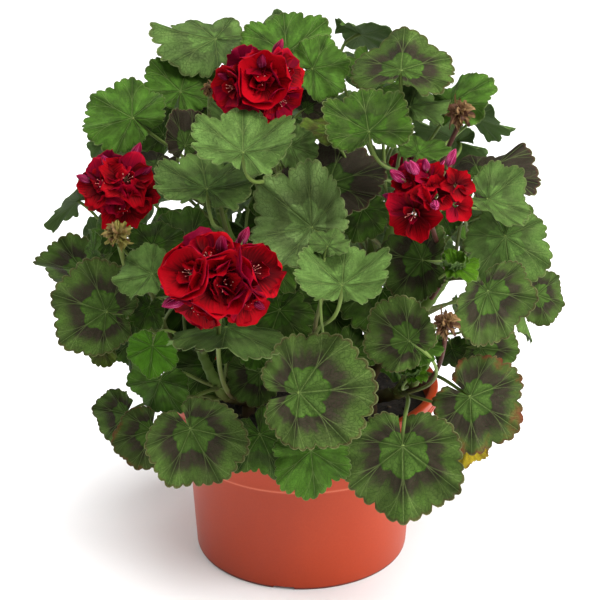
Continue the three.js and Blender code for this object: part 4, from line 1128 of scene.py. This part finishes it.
def petal(skin, root, out, up, length, wide, steep, seed, tone):
    """A broad, hollow petal that leaves the root outward and curves up, with both faces."""
    rng = np.random.default_rng(seed)
    side = np.cross(up, out)
    t, u = np.linspace(0, 1, 10)[:, None], np.linspace(-1, 1, 11)
    width = wide * length * np.sin(np.pi * (0.07 + 0.66 * t**0.85)) ** 0.85
    end = 1 - 0.3 * np.abs(u) ** 2.6 - 0.1 * rng.random() * np.exp(-((u / 0.25) ** 2))
    end = end + 0.035 * np.sin(7 * u + 6.3 * rng.random())
    bend = steep * (0.5 + 0.75 * t)
    stretch = length * (1 + (end - 1) * t**1.6)
    ahead = np.cumsum(np.cos(bend), 0) / 10 * stretch
    above = np.cumsum(np.sin(bend), 0) / 10 * stretch
    hollow = (0.34 + 0.12 * rng.random()) * width * u**2
    wave = 0.08 * length * np.sin(2.2 * u + 6.3 * rng.random()) * t**2
    wave = wave + 0.035 * length * np.sin(7 * u + 6.3 * rng.random()) * t**3
    curl = 0.16 * length * (rng.random() - 0.35) * t**5
    lift = hollow + wave - curl
    x = ahead - lift * np.sin(bend)
    z = above + lift * np.cos(bend)
    y = width * u + 0.1 * length * (rng.random() - 0.5) * t**2
    points = root + x[..., None] * out + y[..., None] * side + z[..., None] * up
    face_up = -np.sin(bend)[..., None] * out + np.cos(bend)[..., None] * up
    both, faces = sheet(points + PETAL_HALF * face_up, points - PETAL_HALF * face_up)
    place = np.stack([np.broadcast_to(u, x.shape), np.broadcast_to(t, x.shape)], -1).reshape(-1, 2)
    skin.add(
        both, faces, place=np.concatenate([place, place]), under=np.arange(len(both)) >= len(place),
        tone=tone, chance=rng.random(),
    )


def frame_of(normal):
    first = np.array([1.0, 0, 0]) if abs(normal[2]) > 0.9 else UP
    across = unit(np.cross(first, normal))
    return across, np.cross(normal, across)


CALYX, STAMEN = 1, 2


def pedicel(skin, hub, base, arrival, radius):
    span = np.linalg.norm(base - hub)
    knots = np.array([hub, hub + unit(base - hub) * span / 3, base - arrival * span / 3, base])
    add_stalk(skin, knots, radius, radius * 0.95, CALYX, steps=8)


def calyx(skin, base, normal, size, seed):
    """A green cup under a flower, drawn out into five narrow, pointed sepals."""
    rng = np.random.default_rng(seed)
    across, upward = frame_of(normal)
    line = np.array([base - normal * size * 0.6, base, base + normal * size * 0.7])
    points, faces, _ = tube(line, np.array([0.3, 0.62, 0.5]) * size, 7)
    skin.add(points, faces, CALYX)
    for i in range(5):
        turn = 2 * np.pi * i / 5 + rng.random()
        out = across * math.cos(turn) + upward * math.sin(turn)
        t = np.linspace(0, 1, 6)[:, None]
        line = base + out * size * (0.4 + 0.9 * t) + normal * size * (0.2 + 2.6 * t - 0.6 * t * t)
        points, faces, _ = tube(line, size * np.array([0.3, 0.34, 0.3, 0.22, 0.12, 0.02]), 5)
        skin.add(points, faces, CALYX)


def floret(skin, middle, normal, width, spin, seed, tone, hub, loose=False):
    """A half-double flower: a cup of broad petals, a few steeper ones in it, stamens and calyx."""
    rng = np.random.default_rng(seed)
    across, upward = frame_of(normal)
    length = 0.5 * width
    large = width >= LARGE_FLOWER
    rings = [(5, 1.25, 0.55, 0.7), (3, 0.62, 0.85, 0.5)] if large else [(5, 1.2, 0.42, 0.62)]
    if width >= FULL_FLOWER:
        rings = [(5, 1.32, 0.74, 0.78), (2, 0.7, 0.95, 0.5)]
    if loose:
        rings = [(5, 1.25, 0.22, 0.47), (3, 0.5, 0.8, 0.4)] if large else [(5, 1.2, 0.3, 0.46)]
    for ring, (count, share, steep, wide) in enumerate(rings):
        for i in range(count):
            turn = math.radians(spin + 360 / count * i + 30 * ring + 16 * (rng.random() - 0.5))
            out = across * math.cos(turn) + upward * math.sin(turn)
            root = middle + normal * (0.7 * ring) + out * 0.6
            angle = steep + 0.3 * (rng.random() - 0.5)
            reach = length * share * (0.9 + 0.2 * rng.random())
            # Inner petals take a lower tone, so they are painted darker: painted shade inside the cup.
            petal(skin, root, out, normal, reach, wide, angle, seed * 31 + ring * 7 + i, tone - 0.1 * ring)
    for i in range(STAMENS if large else 0):
        turn, lean = 2.4 * i, 0.25 + 0.3 * rng.random()
        out = across * math.cos(turn) + upward * math.sin(turn)
        head = middle + normal * length * 0.5 + out * length * 0.22 * lean * 2
        points, faces, _ = tube(np.array([middle + out * 0.5, (middle + head) / 2, head]), 0.16, 4)
        skin.add(points, faces, STAMEN)
        points, faces = ball(1)
        skin.add(points * [0.4, 0.4, 0.3] + head, faces, STAMEN)
    base = middle - normal * 2.6
    calyx(skin, base, normal, 1.6 if large else 1.2, seed)
    pedicel(skin, hub, base - normal, normal, 0.8)


def bud(skin, at, normal, size, seed, hub, pink):
    """A closed bud: petals rolled into a pointed egg, held by its calyx."""
    rng = np.random.default_rng(seed)
    across, upward = frame_of(normal)
    t, u = np.linspace(0.02, 1, 12)[:, None], np.linspace(0, 2 * np.pi, 18, endpoint=False)
    fold = 1 + 0.1 * np.cos(3 * (u + 2.2 * t))
    radius = 0.33 * size * np.sin(np.pi * t**0.8) ** 0.75 * fold
    x, y = radius * np.cos(u), radius * np.sin(u)
    z = np.broadcast_to(1.4 * size * t, x.shape)
    points = at + x[..., None] * across + y[..., None] * upward + z[..., None] * normal
    place = np.stack([np.broadcast_to(u * 0.6, x.shape), np.broadcast_to(t, x.shape)], -1)
    skin.add(
        points, grid(12, 18, closed=True), place=place, under=0.5, tone=0.25, chance=rng.random(),
        pink=pink * (0.7 + 0.3 * rng.random()),
    )
    calyx(skin, at, normal, 0.26 * size, seed)
    pedicel(skin, hub, at - normal * 0.2 * size, normal, 0.65)


def place_on(bloom, right, down):
    """Where a place of the picture lies on the round of a head, from the head's middle."""
    wide, high, deep = bloom["size"]
    to_eye, _ = facing(right, down)
    flat = seen(right, down, -bloom["middle"][1]) - bloom["middle"]
    spare = 1 - (flat[0] / wide) ** 2 - (flat[2] / high) ** 2
    direction = flat + to_eye * deep * math.sqrt(max(0.06, spare))
    return direction / max(1, np.linalg.norm(direction / [wide, deep, high]))


def turned_to(half, clock, rise):
    """A place on the round of a head, by its turn from +X and how high it is."""
    flat = math.sqrt(1 - rise * rise)
    angle = math.radians(clock)
    return np.array([math.cos(angle) * flat, math.sin(angle) * flat, rise]) * half


def floret_places(bloom):
    """Where the flowers sit on a head and which way they face."""
    wide, high, deep = bloom["size"]
    half = np.array([wide, deep, high])
    seen_ones = bloom.get("florets", [])
    found = [
        (place_on(bloom, right, down), width, 40 * i) for i, (right, down, width) in enumerate(seen_ones)
    ]
    first, last, count = (20, 160, 2) if found else (0, 360, 6)
    for i in range(count):
        clock = first + (last - first) * (i + 0.5) / count
        found.append((turned_to(half, clock, 0.6 if i % 2 else 0.1), 0.82 * high, 25 * i))
    return half, found


# Smaller flowers and buds, half hidden between the large flowers: right, down, width.
LATE_FLORETS = {
    "bloom_top": [(299, 90, 16), (272, 98, 20), (245, 74, 20)],
    "bloom_left": [(112, 160, 16), (112, 198, 20), (104, 172, 18)],
    "bloom_front": [(176, 301, 16), (176, 254, 14), (212, 304, 22), (240, 284, 24)],
    "bloom_right": [(418, 186, 14)],
}
BUDS = {
    "bloom_top": [(262, 60, 9), (288, 118, 7), (222, 76, 7)],
    "bloom_left": [(84, 178, 8), (104, 158, 7), (150, 168, 7)],
    "bloom_front": [(222, 240, 10), (176, 299, 12), (170, 285, 10), (262, 306, 7)],
    "bloom_right": [
        (395, 175, 9), (412, 165, 9), (435, 205, 8), (387, 168, 8), (402, 158, 7), (425, 160, 7),
    ],
}

petal_red, nodes = new_material("petal_red")
place = nodes.add("UVMap", uv_map="place").outputs[0]
out = nodes.add("SeparateXYZ", {0: place}).outputs[1]
chance = nodes.paint("chance")
along = nodes.add("Mapping", {"Vector": place, "Scale": (7, 0.8, 1)}).outputs[0]
lines = nodes.add("TexNoise", noise_dimensions="4D")
nodes.feed(lines, {"Vector": along, "W": chance, "Scale": 1.6, "Detail": 4.0})
lines = lines.outputs["Fac"]
# Painted shade: each petal's colour darkens towards its root, deep in the flower's cup, and brightens
# towards its tip; the back follows the same way.
depth = nodes.math("MULTIPLY_ADD", out, 0.5, 0.0)
depth = nodes.math("MULTIPLY_ADD", nodes.paint("tone"), 0.5, depth)
depth = nodes.math("MULTIPLY_ADD", lines, 0.6, depth)
front = nodes.ramp(depth, [
    (0.45, (0.016, 0.0001, 0.001)), (0.75, (0.082, 0.0001, 0.0016)), (1.0, (0.28, 0.0001, 0.004)),
])
magenta = nodes.add("MapRange", {"Value": chance, "From Min": 0.75, "From Max": 1.0, "To Max": 0.45})
front = nodes.blend(magenta.outputs[0], front, (0.22, 0.001, 0.030, 1))
back = nodes.ramp(depth, [(0.35, (0.035, 0.0004, 0.005)), (0.95, (0.15, 0.001, 0.016))])
both = nodes.blend(nodes.paint("under"), front, back)
striped = nodes.ramp(lines, [
    (0.42, (0.05, 0.001, 0.010)), (0.52, (0.27, 0.003, 0.06)), (0.64, (0.58, 0.12, 0.27)),
])
nodes.shade(nodes.blend(nodes.paint("pink"), both, striped), (lines, 0.5, 0.0006), {
    "Roughness": 0.62, "Specular IOR Level": 0.04, "Sheen Weight": 0.1, "Sheen Roughness": 0.3,
    "Sheen Tint": (0.6, 0.01, 0.1, 1),
})

calyx_green, nodes = new_material("calyx_green")
patches = nodes.noise(nodes.here(), 160.0, 4.0)
green = nodes.ramp(patches, [
    (0.35, (0.14, 0.045, 0.025)), (0.55, (0.11, 0.17, 0.035)), (0.75, (0.16, 0.26, 0.05)),
])
nodes.shade(green, (patches, 0.5, 0.0004), {"Roughness": 0.6})

stamen_pale, nodes = new_material("stamen_pale")
dust = nodes.noise(nodes.here(), 600.0, 2.0)
pale = nodes.ramp(dust, [(0.4, (0.48, 0.06, 0.06)), (0.6, (0.58, 0.27, 0.20))])
nodes.shade(pale, None, {"Roughness": 0.7})

for number, (name, bloom) in enumerate(BLOOMS.items()):
    skin = Skin()
    rng = np.random.default_rng(number + 5)
    half, found = floret_places(bloom)
    hub = bloom["foot"]
    for i, (direction, width, spin) in enumerate(found):
        loose = name in ("bloom_left", "bloom_right")
        front_on = 0.7 if loose and i < len(bloom["florets"]) else 0
        normal = unit(unit(direction / half) + np.array([0, -0.93, 0.36]) * front_on)
        middle = bloom["middle"] + direction * (FLORET_SEAT + (0.2 * rng.random() if i else 0))
        tone = (0.2 if name == "bloom_left" else 0.4) + 0.45 * rng.random()
        floret(skin, middle, normal, width, spin, 100 * number + i, tone, hub, loose)
    late = [(place_on(bloom, *at), width) for *at, width in LATE_FLORETS.get(name, [])]
    late += [(turned_to(half, 37 + 61 * i, 0.5 - 0.25 * i), 17 - i) for i in range(3)]
    for i, (direction, width) in enumerate(late):
        normal = unit(direction / half)
        middle = bloom["middle"] + direction * 0.6
        floret(skin, middle, normal, width, 50 * i, 100 * number + 40 + i, 0.1 + 0.3 * rng.random(), hub)
    buds = [(place_on(bloom, *at), size) for *at, size in BUDS.get(name, [])]
    buds += [(turned_to(half, 20 + 47 * i, 0.9 - 0.3 * i), 9 - i) for i in range(4)]
    for i, (direction, size) in enumerate(buds):
        pink = 1.0 if name == "bloom_right" or i == 1 else 0.45
        bud(skin, bloom["middle"] + direction * 0.76, unit(direction / half), size, i + number, hub, pink)
    points, faces = ball(2)
    skin.add(points * 2.6 + hub + UP * 1.2, faces, CALYX)
    skin.piece(
        name.replace("bloom", "flowers"), name, "petals", [petal_red, calyx_green, stamen_pale],
        sharp=80,
    )

# THE SPENT HEADS
# Heads that have finished flowering and dried to a brown tuft of seed beaks on a thin stalk, with
# curled papery sepals between them. Each grows on one of the stems.
BEAKS = 14
DRY_SEPALS = 90
DRY_HALF = 0.12

dry_brown, nodes = new_material("dry_brown")
patches = nodes.noise(nodes.here(), 320.0, 4.0)
mixed = nodes.math("MULTIPLY", nodes.math("ADD", patches, nodes.paint("tone")), 0.7)
stops = [(0.45, (0.045, 0.013, 0.007)), (0.85, (0.115, 0.042, 0.016)), (1.4, (0.22, 0.125, 0.040))]
dried = nodes.ramp(mixed, [(place * 0.7, colour) for place, colour in stops])
half_dried = nodes.blend(nodes.paint("green"), dried, (0.18, 0.19, 0.016, 1))
nodes.shade(half_dried, (patches, 0.6, 0.0005), {"Roughness": 0.75})
for name, head in SPENT.items():
    skin = Skin()
    rng = np.random.default_rng(len(name))
    size = head["size"]
    green = 0.45 if name == "spent_head_left" else 0.0
    for i in range(BEAKS):
        rise = 1 - 1.25 * (i + 0.5) / BEAKS
        angle = 2.4 * i
        flat = math.sqrt(1 - rise * rise)
        out = np.array([flat * math.cos(angle), flat * math.sin(angle), rise])
        length = size * (0.65 + 0.35 * rng.random())
        bend = rng.normal(size=3) * 0.2 * length
        share = np.linspace(0.05, 1, 6)[:, None]
        line = head["middle"] + out * length * share + bend * share**2
        thick = size * np.array([0.08, 0.10, 0.08, 0.06, 0.035, 0.01])
        points, faces, _ = tube(line, thick, 5)
        skin.add(points, faces, tone=0.2 + 0.6 * rng.random(), green=green)
    for _ in range(DRY_SEPALS):
        out = unit(rng.normal(size=3) + [0, 0, 0.45])
        side, upward = frame_of(out)
        side = unit(side + 0.6 * rng.normal(size=3))
        length, wide = size * (0.42 + 0.45 * rng.random()), (0.13 + 0.12 * rng.random()) * size
        t, u = np.linspace(0, 1, 6)[:, None], np.linspace(-1, 1, 4)
        spread_out = wide * np.sin(np.pi * (0.15 + 0.82 * t)) * u
        curl = length * (0.45 * rng.normal() * t**2 + 0.25 * u * u)
        at = head["middle"] + out * size * 0.3
        points = at + (length * t + 0 * u)[..., None] * out + spread_out[..., None] * side
        points = points + curl[..., None] * upward
        both, faces = sheet(points + DRY_HALF * upward, points - DRY_HALF * upward)
        skin.add(both, faces, tone=0.1 + 1.1 * rng.random(), green=green * 2 * rng.random())
    points, faces = ball(2)
    skin.add(points * size * 0.48 + head["middle"], faces, tone=0.1, green=green)
    skin.piece(name.replace("head", "tuft"), name, "dry_heads", [dry_brown], sharp=60)

# THE ROOM
# A plain pale floor under soft white light from all round, stronger from the front right, with a
# weaker light behind on the left.
floor = bpy.data.meshes.new("floor")
floor.from_pydata([(-6, -6, 0), (6, -6, 0), (6, 6, 0), (-6, 6, 0)], [], [(0, 1, 2, 3)])
floor = bpy.data.objects.new("floor", floor)
bpy.context.scene.collection.objects.link(floor)
floor_white, nodes = new_material("floor_white")
nodes.shade((0.85, 0.85, 0.85, 1), None, {"Roughness": 0.8})
floor.data.materials.append(floor_white)
world = bpy.data.worlds.new("room")
bpy.context.scene.world = world
world.use_nodes = True
nodes = Nodes(world.node_tree)
seen_directly = nodes.add("LightPath").outputs["Is Camera Ray"]
strength = nodes.add("MapRange", {"Value": seen_directly, "To Min": 0.26, "To Max": 1.0}).outputs[0]
nodes.feed(world.node_tree.nodes["Background"], {"Strength": strength, "Color": (1, 1, 1, 1)})


def soft_light(name, place, aim, size, power):
    lamp = bpy.data.lights.new(name, "AREA")
    lamp.shape, lamp.size, lamp.energy = "DISK", size, power
    light = bpy.data.objects.new(name, lamp)
    bpy.context.scene.collection.objects.link(light)
    light.location = place
    light.rotation_euler = (Vector(aim) - Vector(place)).to_track_quat("-Z", "Y").to_euler()


soft_light("front_right", (1.5, -0.9, 1.35), (0, 0, 0.2), 2.0, 68)
soft_light("back_left", (-1.4, 1.0, 1.3), (0, 0, 0.2), 2.0, 26)
sky = bpy.data.lights.new("ceiling", "SUN")
sky.energy, sky.angle = 3.7, math.radians(50)
ceiling = bpy.data.objects.new("ceiling", sky)
ceiling.rotation_euler = (math.radians(8), math.radians(6), 0)
bpy.context.scene.collection.objects.link(ceiling)
bpy.context.scene.view_settings.view_transform = "Standard"
camera = bpy.data.objects.new("camera", bpy.data.cameras.new("camera"))
SENSOR = 36
camera.data.sensor_width = SENSOR
camera.data.lens = SENSOR * EYE_FOCAL / PICTURE
camera.location = EYE * MM
camera.rotation_euler = (math.pi / 2 - EYE_PITCH, 0, 0)
bpy.context.scene.collection.objects.link(camera)
bpy.context.scene.camera = camera
